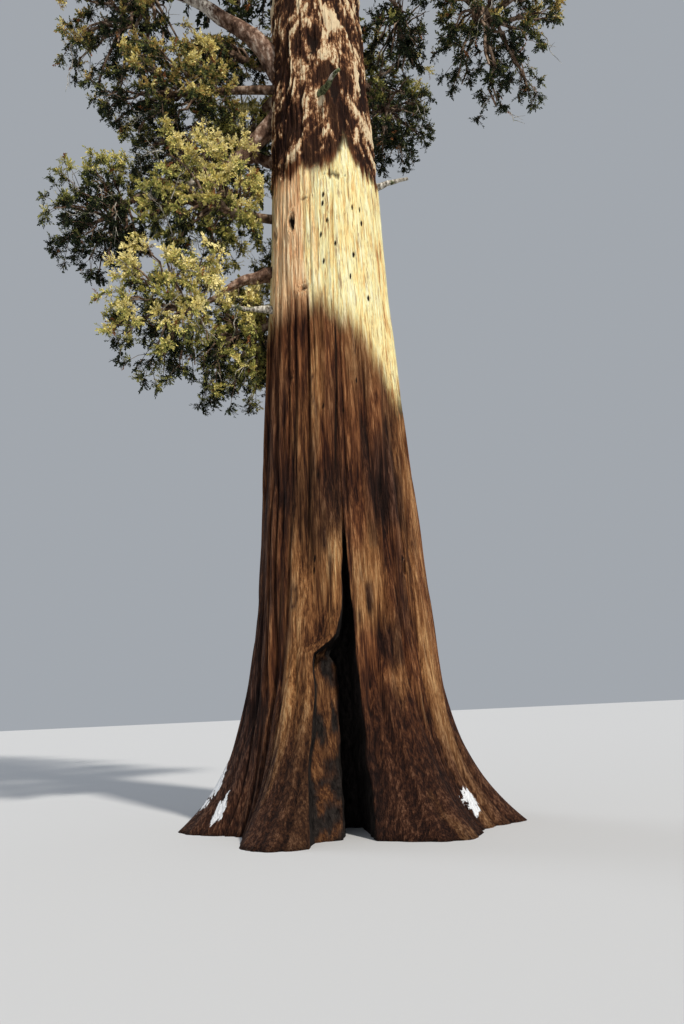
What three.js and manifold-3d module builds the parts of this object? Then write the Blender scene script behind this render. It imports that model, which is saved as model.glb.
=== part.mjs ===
// A giant sequoia: one trunk with a fire scar, its main boughs, three broken stubs and its masses of foliage.
// Lengths are metres of the real tree. The group's scale brings them to a model 40 m tall, in millimetres.
// +Z is up, -Y faces the side with the fire scar, and the origin is the middle of the flat cut at the ground.
// Bearings are degrees, from +X (0) through +Y (90).
import * as THREE from "three";
import { mergeVertices } from "three/addons/utils/BufferGeometryUtils.js";
import Module from "manifold-3d";

const wasm = await Module();
wasm.setup();

// Driving dimensions
const TREE_HEIGHT = 78.5;
const MODEL_HEIGHT_MM = 40000;
const MM_PER_METRE = MODEL_HEIGHT_MM / TREE_HEIGHT;
const GAP = 0.3 / MM_PER_METRE; // 0.3 mm of the model, between a limb and what carries it
// The clear way of a limb through a core: metres around it, and a share of its length past its tip.
const LIMB_CLEARANCE = { around: 0.05, past: 0.02 };
const GOLDEN_ANGLE = 180 * (3 - Math.sqrt(5));
const HALF = 0.5; // a rod of unit length runs this far to either side of its middle
const WELD = 1e-6; // points nearer than this are one

// Trunk
const TRUNK_TIP = 73.6;
const SHAFT = { radius: 2.25, taper: 0.6, tip: 0.06 }; // without the swelling of the butt and the root flare
const BUTT = { swelling: 0.62, height: 14 };
const FLARE = { reach: 2.15, height: 1.8, valley: 0.22 };
const FLUTE = { depth: 0.06, height: 11 };
const BUTTRESSES = [-9, 40, 86, 132, 182, 243, 305];
const BUTTRESS_WIDTH = 21;
const TRUNK_SIDES = 36;
const TRUNK_RINGS = 19;
const RING_CROWDING = 2.2; // rings crowd towards the ground by this power

// Fire scar: its outline in the bark seen from -Y, as x and height, and how it narrows towards its back
const SCAR_OUTLINE = [
  [0.13, 8.1],
  [0.0, 7.0],
  [-0.06, 5.9],
  [-0.24, 5.2],
  [-0.82, 4.75],
  [-0.92, 3.4],
  [-1.1, -0.2],
  [0.62, -0.2],
  [0.42, 3.4],
  [0.3, 5.2],
  [0.24, 6.5],
];
const SCAR = { narrowing: 0.5, lowering: 0.75, middle: 0 };
const SCAR_DEPTHS = [-1.0, -2.2, -6.5]; // y of its back, of where it starts to narrow and of its mouth

// Boughs
const BOUGH_SIDES = 5;
const BOUGH_STEPS = 5;
const BOUGH_TIP = 0.42; // tip radius as a share of the base radius
const ROOTED = 0.5; // how far a limb starts inside the bark before it is cut to it

// Foliage: a mass is a core with twigs that end in toothed sprays. Shares are of the mass's size.
const CORE = { share: 0.8, ripple: 0.14, waves: [3.1, 3.7, 2.9], step: 0.88, least: 0.1, sides: 7, bands: 5 };
const STEM = { sides: 4, steps: 2, bend: 0.4, taper: 0.4, least: 0.05, thickness: 0.05 };
const TWIG = { sides: 3, radius: 0.17, choices: 14, most: 6, turn: 40 };
const TWIG_REACH = { least: 0.7, spread: 0.12 };
const TWIG_LIFT = 0.25; // how far the choice leans upwards from straight out of the crown
const SPRAY_ROOTS = [
  { along: 0.8, turn: 0.1 },
  { along: 0.6, turn: 0.9 },
];
const SPRAY = { length: 0.5, varies: 0.4, droop: 0.3, leastDroop: 0.5, tilt: 1.6 };
// Its outline as shares of its length, along and across: the root, three points and the two notches between.
const SPRAY_OUTLINE = [
  [0, 0],
  [0.68, -0.36],
  [0.58, -0.12],
  [1, 0],
  [0.58, 0.12],
  [0.68, 0.36],
];
const SPRAY_FLAT_FACES = [
  [0, 2, 1],
  [0, 4, 2],
  [2, 4, 3],
  [0, 5, 4],
];
const SPRAY_RIDGE = { along: 0.5, thickness: 0.12 };
const REACH = 1.12; // no spray goes further than this share of the mass's size
const SPACE_GAP = 0.03; // half of the clear width between two masses
const BARK_SHARE = 1.12; // a mass keeps this far from the axis, as a share of the trunk's radius

// Limbs that show from the side of the fire scar, and the few that fill the crown behind them.
// height is where the limb leaves the trunk, and out how far its tip is from the trunk's axis.
// rise is how much higher the tip ends and arch how far the middle bows up. swing turns the bearing.
// beyond is where the mass's middle lies past the tip: outwards, sideways and up.
const SEEN_LIMBS = [
  { name: "left_high", bearing: 181, height: 26.5, out: 5.3, rise: 4.0, arch: 0.6, radius: 0.38,
    beyond: [2.0, 0, -1.3], size: [3.1, 2.9, 4.1] },
  { name: "left_mid", bearing: 157, height: 23.3, out: 3.7, rise: 1.1, arch: -0.2, radius: 0.26,
    beyond: [2.3, 0.2, 0.3], size: [3.3, 2.9, 2.7] },
  { name: "left_far", bearing: 178, height: 25.1, out: 6.5, rise: -3.3, arch: -0.9, radius: 0.32,
    beyond: [1.5, 0, -0.9], size: [2.15, 2.2, 2.35] },
  { name: "left_low", bearing: 187, height: 17.9, out: 3.9, rise: -0.8, arch: 0.3, radius: 0.24,
    beyond: [1.5, 0, -0.5], size: [2.4, 2.4, 3.0] },
  { name: "right_back", bearing: 38, height: 26.6, out: 2.9, rise: 0.3, arch: 0.3, radius: 0.26,
    beyond: [0.6, 0, -0.5], size: [1.8, 1.9, 2.2] },
  { name: "right_hanging", bearing: 14, height: 30.8, out: 2.9, rise: 0.2, arch: 0.4, radius: 0.26,
    beyond: [0.5, 0, -1.9], size: [1.6, 1.8, 2.9] },
  { name: "right_weeping", bearing: 1, height: 31.4, out: 5.6, rise: -0.9, arch: 2.6, radius: 0.42,
    beyond: [1.4, 0, -1.9], size: [2.8, 2.7, 4.2] },
  { name: "back_left", bearing: 132, height: 26.4, out: 4.0, rise: 0.6, arch: 0.6, radius: 0.34,
    beyond: [1.7, 0, 0], size: [3.5, 3.0, 3.1] },
  { name: "back_low", bearing: 97, height: 21.8, out: 3.6, rise: -0.6, arch: 0.5, radius: 0.32,
    beyond: [1.6, 0, -0.4], size: [3.0, 2.8, 3.0] },
  { name: "back_right", bearing: 68, height: 30.4, out: 4.1, rise: 0.3, arch: 0.6, radius: 0.34,
    beyond: [1.7, 0, -0.2], size: [3.4, 3.0, 3.1] },
];
// Masses that grow from the trunk on their own stem. centre is bearing, distance from the axis and height.
const SEEN_MASSES = [
  { name: "left_high_inner", from: 27.4, centre: [163, 4.2, 29.6], size: [3.0, 2.6, 3.0] },
  { name: "left_inner", from: 25.8, centre: [186, 5.8, 25.4], size: [2.6, 2.3, 2.3] },
  { name: "left_green", from: 20.2, centre: [187, 4.5, 20.9], size: [2.7, 2.5, 2.7] },
  { name: "left_lowest", from: 16.4, centre: [171, 3.7, 16.0], size: [2.2, 2.1, 2.6] },
  { name: "back_lowest", from: 17.6, centre: [126, 4.5, 17.4], size: [2.8, 2.5, 2.6] },
];
const STUBS = [
  { name: "right_dead_stub", bearing: -3, height: 21.3, out: 3.05, rise: 0.4, arch: 0.05, radius: 0.12 },
  { name: "front_dead_stub", bearing: -94, height: 23.9, out: 2.9, rise: 0.15, arch: 0.05, radius: 0.13,
    swing: 18 },
  { name: "left_dead_stub", bearing: 197, height: 16.6, out: 3.4, rise: -0.15, arch: -0.15, radius: 0.12 },
];

// Upper crown: masses wind up round the trunk by the golden angle under a dome
const UPPER = { count: 22, first: 33.6, last: 72.0, crowding: 0.95, bearing: 205 };
const UPPER_SIZE = { low: 5.9, high: 3.5, height: 0.88 };
const UPPER_BOUGH = { every: 4, below: 17, share: 0.55, extra: 0.6, drop: 0.45, arch: -0.35, thickness: 0.2,
  highest: TRUNK_TIP - 2 };
const DOME = { radius: 9.9, widest: 32 };
const NEAREST = 1.6; // no mass's middle is nearer the axis than this
const MASS_INSET = 0.95; // the mass's middle lies this share of its size inside the dome
const LEADER = { centre: 75.5, size: [2.9, 2.7, 3.0], stem: 0.06 };

const rad = THREE.MathUtils.degToRad;

function polar(bearing, distance, height) {
  return new THREE.Vector3(
    distance * Math.cos(rad(bearing)),
    distance * Math.sin(rad(bearing)),
    height,
  );
}

// Seeded random numbers from 0 to 1 (mulberry32).
function seeded(seed) {
  let state = seed >>> 0;
  return () => {
    state = (state + 0x6d2b79f5) >>> 0;
    let t = Math.imul(state ^ (state >>> 15), 1 | state);
    t = (t + Math.imul(t ^ (t >>> 7), 61 | t)) ^ t;
    return ((t ^ (t >>> 14)) >>> 0) / 4294967296;
  };
}

// A chance from -0.5 to 0.5
function eitherWay(random) {
  return random() - HALF;
}

// Geometry to solid and back

function solid(geometry) {
  const bare = new THREE.BufferGeometry();
  bare.setAttribute("position", geometry.getAttribute("position"));
  bare.setIndex(geometry.index);
  const merged = mergeVertices(bare, WELD);
  return new wasm.Manifold(
    new wasm.Mesh({
      numProp: 3,
      vertProperties: merged.getAttribute("position").array,
      triVerts: new Uint32Array(merged.index.array),
    }),
  );
}

function geometryOf(made) {
  const { vertProperties, triVerts } = made.getMesh();
  const geometry = new THREE.BufferGeometry();
  geometry.setAttribute("position", new THREE.BufferAttribute(vertProperties, 3));
  geometry.setIndex(new THREE.BufferAttribute(triVerts, 1));
  geometry.computeVertexNormals();
  return geometry;
}

function moveEach(geometry, move) {
  const position = geometry.getAttribute("position");
  const point = new THREE.Vector3();
  for (let i = 0; i < position.count; i++) {
    point.fromBufferAttribute(position, i);
    position.setXYZ(i, ...move(point).toArray());
  }
  return geometry;
}

// Trunk

function bodyRadius(height) {
  const shaft = SHAFT.radius * Math.max(0, 1 - height / TRUNK_TIP) ** SHAFT.taper;
  const butt = BUTT.swelling * Math.exp(-((height / BUTT.height) ** 2));
  return Math.max(SHAFT.tip, shaft + butt);
}

// 1 on a buttress's ridge, falling towards 0 between two.
function buttress(bearing) {
  return BUTTRESSES.reduce((sum, ridge) => {
    const off = ((((bearing - ridge + 180) % 360) + 360) % 360) - 180;
    return sum + Math.exp(-((off / BUTTRESS_WIDTH) ** 2));
  }, 0);
}

function trunkRadius(bearing, height) {
  const ridge = buttress(bearing);
  const flare = FLARE.reach * Math.exp(-height / FLARE.height);
  const flute = FLUTE.depth * Math.exp(-height / FLUTE.height) * (ridge - 1);
  return bodyRadius(height) * (1 + flute) + flare * (FLARE.valley + (1 - FLARE.valley) * ridge);
}

function trunkGeometry(proud) {
  const column = new THREE.CylinderGeometry(1, 1, 1, TRUNK_SIDES, TRUNK_RINGS);
  return moveEach(column, ({ x, y, z }) => {
    const height = TRUNK_TIP * (y + HALF) ** RING_CROWDING;
    const bearing = THREE.MathUtils.radToDeg(Math.atan2(-z, x));
    const onAxis = Math.hypot(x, z) < HALF;
    return polar(bearing, onAxis ? 0 : trunkRadius(bearing, height) + proud, height);
  });
}

// The block that cuts the scar: straight through the bark, then narrowing to its back.
function scarGeometry() {
  const outline = new THREE.Shape(SCAR_OUTLINE.map(([x, z]) => new THREE.Vector2(x, z)));
  const steps = SCAR_DEPTHS.length - 1;
  const block = new THREE.ExtrudeGeometry(outline, { depth: steps, steps, bevelEnabled: false });
  return moveEach(block, ({ x, y, z }) => {
    const inward = Math.max(0, 1 - z);
    const across = THREE.MathUtils.lerp(x, SCAR.middle + (x - SCAR.middle) * SCAR.narrowing, inward);
    const up = THREE.MathUtils.lerp(y, y * SCAR.lowering, inward);
    return new THREE.Vector3(across, SCAR_DEPTHS[Math.round(z)], up);
  });
}

const trunk = solid(trunkGeometry(0)).subtract(solid(scarGeometry()));
const barkCutter = solid(trunkGeometry(GAP));

// Limbs

// A tapering round limb along a curve, closed at both ends.
function limbGeometry(curve, radiusAt, sides, steps) {
  const frames = curve.computeFrenetFrames(steps);
  const rod = new THREE.CylinderGeometry(1, 1, 1, sides, steps);
  return moveEach(rod, ({ x, y, z }) => {
    const ring = Math.round((y + HALF) * steps);
    const share = ring / steps;
    const radius = radiusAt(share);
    return curve
      .getPoint(share)
      .addScaledVector(frames.normals[ring], z * radius)
      .addScaledVector(frames.binormals[ring], x * radius);
  });
}

function limbSolid(curve, radiusAt, sides, steps) {
  return solid(limbGeometry(curve, radiusAt, sides, steps));
}

// The line of a bough or stub, from inside the bark to its tip, or a share of its length past it.
function boughCurve({ bearing, height, out, rise, arch, swing = 0 }, past = 0) {
  const start = trunkRadius(bearing, height) - ROOTED;
  const points = [];
  for (let i = 0; i <= BOUGH_STEPS; i++) {
    const share = (i / BOUGH_STEPS) * (1 + past);
    const up = rise * share + arch * Math.sin(Math.PI * share);
    points.push(polar(bearing + swing * share, THREE.MathUtils.lerp(start, out, share), height + up));
  }
  return new THREE.CatmullRomCurve3(points);
}

function boughRadius(limb, share) {
  return limb.radius * THREE.MathUtils.lerp(1, BOUGH_TIP, share);
}

function boughSolid(limb) {
  const whole = limbSolid(boughCurve(limb), (share) => boughRadius(limb, share), BOUGH_SIDES, BOUGH_STEPS);
  return whole.subtract(barkCutter);
}

// The clear way that a limb needs through a mass.
function wayFor(limb) {
  const radiusAt = (share) => boughRadius(limb, share) + LIMB_CLEARANCE.around;
  return limbSolid(boughCurve(limb, LIMB_CLEARANCE.past), radiusAt, BOUGH_SIDES, BOUGH_STEPS);
}

// Where the masses are

function limbMass(limb, seed) {
  const curve = boughCurve(limb);
  const along = curve.getTangent(1);
  const foot = curve.getPoint(1).addScaledVector(along, GAP);
  const [outwards, sideways, up] = limb.beyond;
  const centre = polar(limb.bearing, outwards, up)
    .addScaledVector(polar(limb.bearing + 90, 1, 0), sideways)
    .add(curve.getPoint(1));
  return { name: limb.name, seed, foot, along, centre, bearing: limb.bearing, size: limb.size,
    stemRadius: limb.radius * BOUGH_TIP };
}

function trunkMass({ name, from, centre, size }, seed) {
  const [bearing, distance, height] = centre;
  const foot = polar(bearing, Math.max(trunkRadius(bearing, from) - ROOTED, 0), from);
  const along = polar(bearing, 1, 0);
  const stemRadius = STEM.least + STEM.thickness * size[0];
  return { name, seed, foot, along, centre: polar(bearing, distance, height), bearing, size, stemRadius };
}

function domeRadius(height) {
  const up = Math.max(0, (height - DOME.widest) / (TREE_HEIGHT - DOME.widest));
  return DOME.radius * Math.sqrt(1 - up * up);
}

// The upper crown: one mass in a few is carried on a bough, the rest on a stem of their own.
function upperCrown() {
  const limbs = [];
  const masses = [];
  for (let i = 0; i < UPPER.count; i++) {
    const share = (i / (UPPER.count - 1)) ** UPPER.crowding;
    const height = THREE.MathUtils.lerp(UPPER.first, UPPER.last, share);
    const bearing = UPPER.bearing + i * GOLDEN_ANGLE;
    const across = THREE.MathUtils.lerp(UPPER_SIZE.low, UPPER_SIZE.high, share);
    const size = [across, across, across * UPPER_SIZE.height];
    const distance = Math.max(domeRadius(height) - across * MASS_INSET, NEAREST);
    const from = Math.min(height - distance * UPPER_BOUGH.drop, UPPER_BOUGH.highest);
    const name = "upper_" + String(i + 1).padStart(2, "0");
    if (i % UPPER_BOUGH.every === 0 && i < UPPER_BOUGH.below) {
      const out = distance * UPPER_BOUGH.share + UPPER_BOUGH.extra;
      const rise = (height - from) * UPPER_BOUGH.share;
      const radius = bodyRadius(from) * UPPER_BOUGH.thickness;
      const beyond = [distance - out, 0, height - from - rise];
      limbs.push({ name, bearing, height: from, out, rise, arch: UPPER_BOUGH.arch, radius, beyond, size });
    } else {
      masses.push({ name, from, centre: [bearing, distance, height], size });
    }
  }
  return { limbs, masses };
}

// The mass on the trunk's tip, which reaches the top of the tree.
const leader = {
  name: "leader",
  seed: 601,
  leader: true,
  foot: new THREE.Vector3(0, 0, TRUNK_TIP + GAP),
  along: new THREE.Vector3(0, 0, 1),
  centre: new THREE.Vector3(0, 0, LEADER.centre),
  bearing: 0,
  size: LEADER.size,
  stemRadius: LEADER.stem,
};

const upper = upperCrown();
const limbs = [...SEEN_LIMBS, ...upper.limbs];
const trunkMasses = [...SEEN_MASSES, ...upper.masses];
const masses = [
  ...limbs.map((limb, i) => limbMass(limb, 101 + i)),
  ...trunkMasses.map((mass, i) => trunkMass(mass, 501 + i)),
  leader,
];

// Each mass keeps to its own space: flat walls between it and its neighbours, placed by their sizes.

function meanSize({ size }) {
  return (size[0] + size[1] + size[2]) / 3;
}

function inSpace(mass, point) {
  const own = point.distanceToSquared(mass.centre) - meanSize(mass) ** 2;
  return masses.every((other) => {
    if (other === mass) return true;
    const theirs = point.distanceToSquared(other.centre) - meanSize(other) ** 2;
    return theirs - own > 2 * SPACE_GAP * other.centre.distanceTo(mass.centre);
  });
}

// A flat wall between the mass and the trunk, on the side where the mass is.
function clearOfTrunk(mass, point) {
  if (mass.leader) return point.z > TRUNK_TIP + SPACE_GAP;
  const outwards = polar(mass.bearing, 1, 0).dot(point);
  const bark = point.z < TRUNK_TIP ? trunkRadius(mass.bearing, point.z) : 0;
  return outwards > bark * BARK_SHARE + SPACE_GAP;
}

function isOpen(mass, point) {
  return point.z < TREE_HEIGHT && clearOfTrunk(mass, point) && inSpace(mass, point);
}

const stubSolids = STUBS.map((stub) => boughSolid(stub));
const boughSolids = limbs.map((limb) => boughSolid(limb));
const wood = [...boughSolids, ...stubSolids];
const ways = [...limbs, ...STUBS].map(wayFor);

function touches(made, other) {
  return !made.intersect(other).isEmpty();
}

function touchesWood(made) {
  return wood.some((limb) => touches(made, limb)) || touches(made, barkCutter);
}

// Foliage

// A point of the mass, from a direction and a share of its size.
function within(mass, direction, share) {
  const [along, across, tall] = mass.size;
  const outwards = polar(mass.bearing, 1, 0);
  const sideways = polar(mass.bearing + 90, 1, 0);
  return mass.centre
    .clone()
    .addScaledVector(outwards, direction.x * along * share)
    .addScaledVector(sideways, direction.y * across * share)
    .addScaledVector(new THREE.Vector3(0, 0, 1), direction.z * tall * share);
}

// A rippled ball, drawn in wherever it would leave the mass's space.
function coreSolid(mass) {
  const ball = new THREE.SphereGeometry(1, CORE.sides, CORE.bands);
  const phase = mass.seed;
  const [xWaves, yWaves, zWaves] = CORE.waves;
  return solid(
    moveEach(ball, (direction) => {
      const along = Math.sin(xWaves * direction.x + phase);
      const ripple = along + Math.sin(yWaves * direction.y + 2 * phase) * Math.cos(zWaves * direction.z);
      let reach = CORE.share * (1 + CORE.ripple * ripple);
      let point = within(mass, direction, reach);
      while (reach > CORE.least && !isOpen(mass, point)) {
        reach *= CORE.step;
        point = within(mass, direction, reach);
      }
      return point;
    }),
  );
}

// A toothed blade, flat below and rising to a point above, from its root along a direction.
function sprayGeometry(root, direction, side, length) {
  const up = new THREE.Vector3().crossVectors(direction, side);
  const at = (along, across, thick) =>
    root
      .clone()
      .addScaledVector(direction, along * length)
      .addScaledVector(side, across * length)
      .addScaledVector(up, thick * length);
  const rim = SPRAY_OUTLINE.map(([along, across]) => at(along, across, 0));
  const ridge = at(SPRAY_RIDGE.along, 0, SPRAY_RIDGE.thickness);
  const faces = rim.map((_, i) => [i, (i + 1) % rim.length, rim.length]);
  const index = [...faces, ...SPRAY_FLAT_FACES].flat();
  return new THREE.BufferGeometry().setFromPoints([...rim, ridge]).setIndex(index);
}

// How far out a point is, as a share of the mass's size.
function reachOf(mass, point) {
  const [along, across, tall] = mass.size;
  const off = point.clone().sub(mass.centre).applyAxisAngle(new THREE.Vector3(0, 0, 1), -rad(mass.bearing));
  return Math.hypot(off.x / along, off.y / across, off.z / tall);
}

// One spray, or nothing where it would leave the mass's space or touch a limb.
function spraySolid(mass, random, root, outwards) {
  const droop = SPRAY.droop * (SPRAY.leastDroop + random());
  const direction = outwards.clone().addScaledVector(new THREE.Vector3(0, 0, -1), droop).normalize();
  const level = new THREE.Vector3(0, 0, 1).cross(direction).normalize();
  const side = level.applyAxisAngle(direction, SPRAY.tilt * eitherWay(random));
  const length = SPRAY.length * meanSize(mass) * (1 + SPRAY.varies * eitherWay(random));
  const geometry = sprayGeometry(root, direction, side, length);
  const position = geometry.getAttribute("position");
  for (let i = 0; i < position.count; i++) {
    const point = new THREE.Vector3().fromBufferAttribute(position, i);
    if (!isOpen(mass, point) || reachOf(mass, point) > REACH) return null;
  }
  const made = solid(geometry);
  return touchesWood(made) ? null : made;
}

// Directions spread over a ball, each turned a little by chance, those that point out of the crown first.
function twigDirections(random) {
  const directions = Array.from({ length: TWIG.choices }, (_, i) => {
    const up = 1 - (2 * i + 1) / TWIG.choices;
    const turn = rad(i * GOLDEN_ANGLE + TWIG.turn * random());
    const flat = Math.sqrt(1 - up * up);
    return new THREE.Vector3(flat * Math.cos(turn), flat * Math.sin(turn), up);
  });
  const outward = (direction) => direction.x + TWIG_LIFT * direction.z;
  return directions.sort((a, b) => outward(b) - outward(a));
}

// The mass's stem leaves square to its bough's tip and bends to the middle of the mass.
function stemSolid({ foot, along, centre, stemRadius }) {
  const bend = foot.clone().addScaledVector(along, STEM.bend * foot.distanceTo(centre));
  const line = new THREE.QuadraticBezierCurve3(foot, bend, centre);
  return limbSolid(line, (share) => stemRadius * (1 - STEM.taper * share), STEM.sides, STEM.steps);
}

// A three-sided twig that ends in a point.
function twigSolid(from, to) {
  const cone = new THREE.ConeGeometry(TWIG.radius, 1, TWIG.sides);
  const turn = new THREE.Quaternion().setFromUnitVectors(
    new THREE.Vector3(0, 1, 0),
    to.clone().sub(from).normalize(),
  );
  const length = from.distanceTo(to);
  return solid(
    moveEach(cone, ({ x, y, z }) => {
      return new THREE.Vector3(x, (y + HALF) * length, z).applyQuaternion(turn).add(from);
    }),
  );
}

// One twig with its sprays, or nothing where it would leave the mass's space or touch a limb.
function grownTwig(mass, random, direction) {
  const end = within(mass, direction, TWIG_REACH.least + TWIG_REACH.spread * random());
  const twig = twigSolid(mass.centre, end);
  if (!isOpen(mass, end) || touchesWood(twig)) return [];
  const outwards = end.clone().sub(mass.centre).normalize();
  const chance = new THREE.Vector3(eitherWay(random), eitherWay(random), eitherWay(random));
  const across = chance.cross(outwards).normalize();
  const sprays = SPRAY_ROOTS.map(({ along, turn }) => {
    const root = mass.centre.clone().lerp(end, along);
    return spraySolid(mass, random, root, outwards.clone().applyAxisAngle(across, turn));
  });
  const kept = sprays.filter(Boolean);
  return kept.length ? [twig, ...kept] : [];
}

function largestBody(made) {
  return made.decompose().reduce((best, body) => (body.volume() > best.volume() ? body : best));
}

function massSolid(mass) {
  const random = seeded(mass.seed);
  const core = coreSolid(mass);
  const pieces = [ways.reduce((left, way) => (touches(core, way) ? left.subtract(way) : left), core)];
  let twigs = 0;
  for (const direction of twigDirections(random)) {
    const grown = twigs < TWIG.most ? grownTwig(mass, random, direction) : [];
    if (grown.length) twigs += 1;
    pieces.push(...grown);
  }
  if (mass.leader) pieces.push(twigSolid(mass.centre, new THREE.Vector3(0, 0, TREE_HEIGHT)));
  const grown = pieces.reduce((sum, piece) => sum.add(piece));
  return largestBody(grown.add(stemSolid(mass)).subtract(barkCutter));
}

// Materials and scene

const BARK = new THREE.MeshStandardMaterial({ color: 0x8a4a26, roughness: 0.95, metalness: 0 });
const BOUGH_BARK = new THREE.MeshStandardMaterial({ color: 0x7a5238, roughness: 0.95, metalness: 0 });
const DEAD_WOOD = new THREE.MeshStandardMaterial({ color: 0x8d8878, roughness: 0.9, metalness: 0 });
const FOLIAGE = new THREE.MeshStandardMaterial({ color: 0x66702f, roughness: 0.9, metalness: 0 });

const tree = new THREE.Group();
tree.scale.setScalar(MM_PER_METRE);

function addPart(name, made, material) {
  const mesh = new THREE.Mesh(geometryOf(made), material);
  mesh.name = name;
  tree.add(mesh);
}

addPart("trunk", trunk, BARK);
limbs.forEach((limb, i) => addPart("bough_" + limb.name, boughSolids[i], BOUGH_BARK));
STUBS.forEach((stub, i) => addPart(stub.name, stubSolids[i], DEAD_WOOD));
masses.forEach((mass) => addPart("foliage_" + mass.name, massSolid(mass), FOLIAGE));

export default tree;
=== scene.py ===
"""A giant sequoia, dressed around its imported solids: fibrous bark with a charred fire scar, boughs, bleached
stubs and twigs, and a crown of sprays that grows from the limbs by the same rule as the solids.
Lengths are metres of the real tree, as in the solids' source, and K brings them to the 40 m model. +Z is up,
-Y faces the side with the fire scar. Bearings are degrees, from +X (0) through +Y (90)."""

import math
from functools import partial
from types import SimpleNamespace as Values

import bpy
import numpy as np
from mathutils import Matrix, Vector


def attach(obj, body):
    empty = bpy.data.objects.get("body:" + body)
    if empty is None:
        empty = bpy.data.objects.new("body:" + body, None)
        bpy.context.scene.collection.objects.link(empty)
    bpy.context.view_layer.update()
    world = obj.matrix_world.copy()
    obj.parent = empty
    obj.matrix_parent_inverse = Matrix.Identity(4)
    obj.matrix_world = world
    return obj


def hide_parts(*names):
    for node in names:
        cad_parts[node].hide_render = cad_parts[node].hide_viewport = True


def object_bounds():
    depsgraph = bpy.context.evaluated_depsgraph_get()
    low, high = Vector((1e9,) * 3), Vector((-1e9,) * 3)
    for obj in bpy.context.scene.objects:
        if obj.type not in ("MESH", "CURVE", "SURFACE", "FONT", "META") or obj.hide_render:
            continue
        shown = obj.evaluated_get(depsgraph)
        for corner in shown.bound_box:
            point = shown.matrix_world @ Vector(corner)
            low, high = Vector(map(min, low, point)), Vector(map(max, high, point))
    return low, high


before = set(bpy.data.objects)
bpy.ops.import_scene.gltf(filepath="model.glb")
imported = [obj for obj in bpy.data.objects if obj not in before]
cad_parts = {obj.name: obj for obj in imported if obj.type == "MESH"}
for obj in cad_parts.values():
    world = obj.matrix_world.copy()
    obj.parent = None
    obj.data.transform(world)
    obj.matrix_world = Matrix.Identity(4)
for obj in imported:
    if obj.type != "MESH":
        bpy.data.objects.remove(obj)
CAD_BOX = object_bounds()

# Driving dimensions, the same as the solids' source
TREE_HEIGHT = 78.5
K = 40 / TREE_HEIGHT
GOLDEN_ANGLE = 180 * (3 - math.sqrt(5))

TRUNK_TIP = 73.6
SHAFT = Values(radius=2.25, taper=0.6, tip=0.06)
BUTT = Values(swelling=0.62, height=14)
FLARE = Values(reach=2.15, height=1.8, valley=0.22)
FLUTE = Values(depth=0.06, height=11)
BUTTRESSES = [-9, 40, 86, 132, 182, 243, 305]
BUTTRESS_WIDTH = 21

# Fire scar: the left and right edges of its mouth as (x, height), from the apex down, and the y of its back
SCAR_LEFT = [(0.13, 8.1), (0.0, 7.0), (-0.06, 5.9), (-0.24, 5.2), (-0.82, 4.75), (-0.92, 3.4), (-1.1, -0.2)]
SCAR_RIGHT = [(0.13, 8.1), (0.24, 6.5), (0.3, 5.2), (0.42, 3.4), (0.62, -0.2)]
SCAR = Values(back=-1.0, apex=8.1)

BOUGH_TIP = 0.42
ROOTED = 0.5
STEM = Values(bend=0.4, taper=0.4, least=0.05, thickness=0.05, rings=9, sides=10)
TWIG_REACH = Values(least=0.7, spread=0.12)
REACH = 1.12
SPACE_GAP = 0.03
BARK_SHARE = 1.12

# beyond and size are outwards, sideways and up. look is the mixture of greens and golds of its mass; the dark
# and shaded looks are painted shade, and the light look is partly painted sunlight.
LIMB_KEYS = ("name", "bearing", "height", "out", "rise", "arch", "radius", "beyond", "size", "look")
SEEN_LIMBS = [
    ("left_high", 181, 26.5, 5.3, 4.0, 0.6, 0.38, (2.0, 0, -1.3), (3.1, 2.9, 4.1), "bronze"),
    ("left_mid", 157, 23.3, 3.7, 1.1, -0.2, 0.26, (2.3, 0.2, 0.3), (3.3, 2.9, 2.7), "olive"),
    ("left_far", 178, 25.1, 6.5, -3.3, -0.9, 0.32, (1.5, 0, -0.9), (2.15, 2.2, 2.35), "dark"),
    ("left_low", 187, 17.9, 3.9, -0.8, 0.3, 0.24, (1.5, 0, -0.5), (2.4, 2.4, 3.0), "light"),
    ("right_back", 38, 26.6, 2.9, 0.3, 0.3, 0.26, (0.6, 0, -0.5), (1.8, 1.9, 2.2), "dark"),
    ("right_hanging", 14, 30.8, 2.9, 0.2, 0.4, 0.26, (0.5, 0, -1.9), (1.6, 1.8, 2.9), "dark"),
    ("right_weeping", 1, 31.4, 5.6, -0.9, 2.6, 0.42, (1.4, 0, -1.9), (2.8, 2.7, 4.2), "shaded"),
    ("back_left", 132, 26.4, 4.0, 0.6, 0.6, 0.34, (1.7, 0, 0), (3.5, 3.0, 3.1), "olive"),
    ("back_low", 97, 21.8, 3.6, -0.6, 0.5, 0.32, (1.6, 0, -0.4), (3.0, 2.8, 3.0), "olive"),
    ("back_right", 68, 30.4, 4.1, 0.3, 0.6, 0.34, (1.7, 0, -0.2), (3.4, 3.0, 3.1), "olive"),
]
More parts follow.
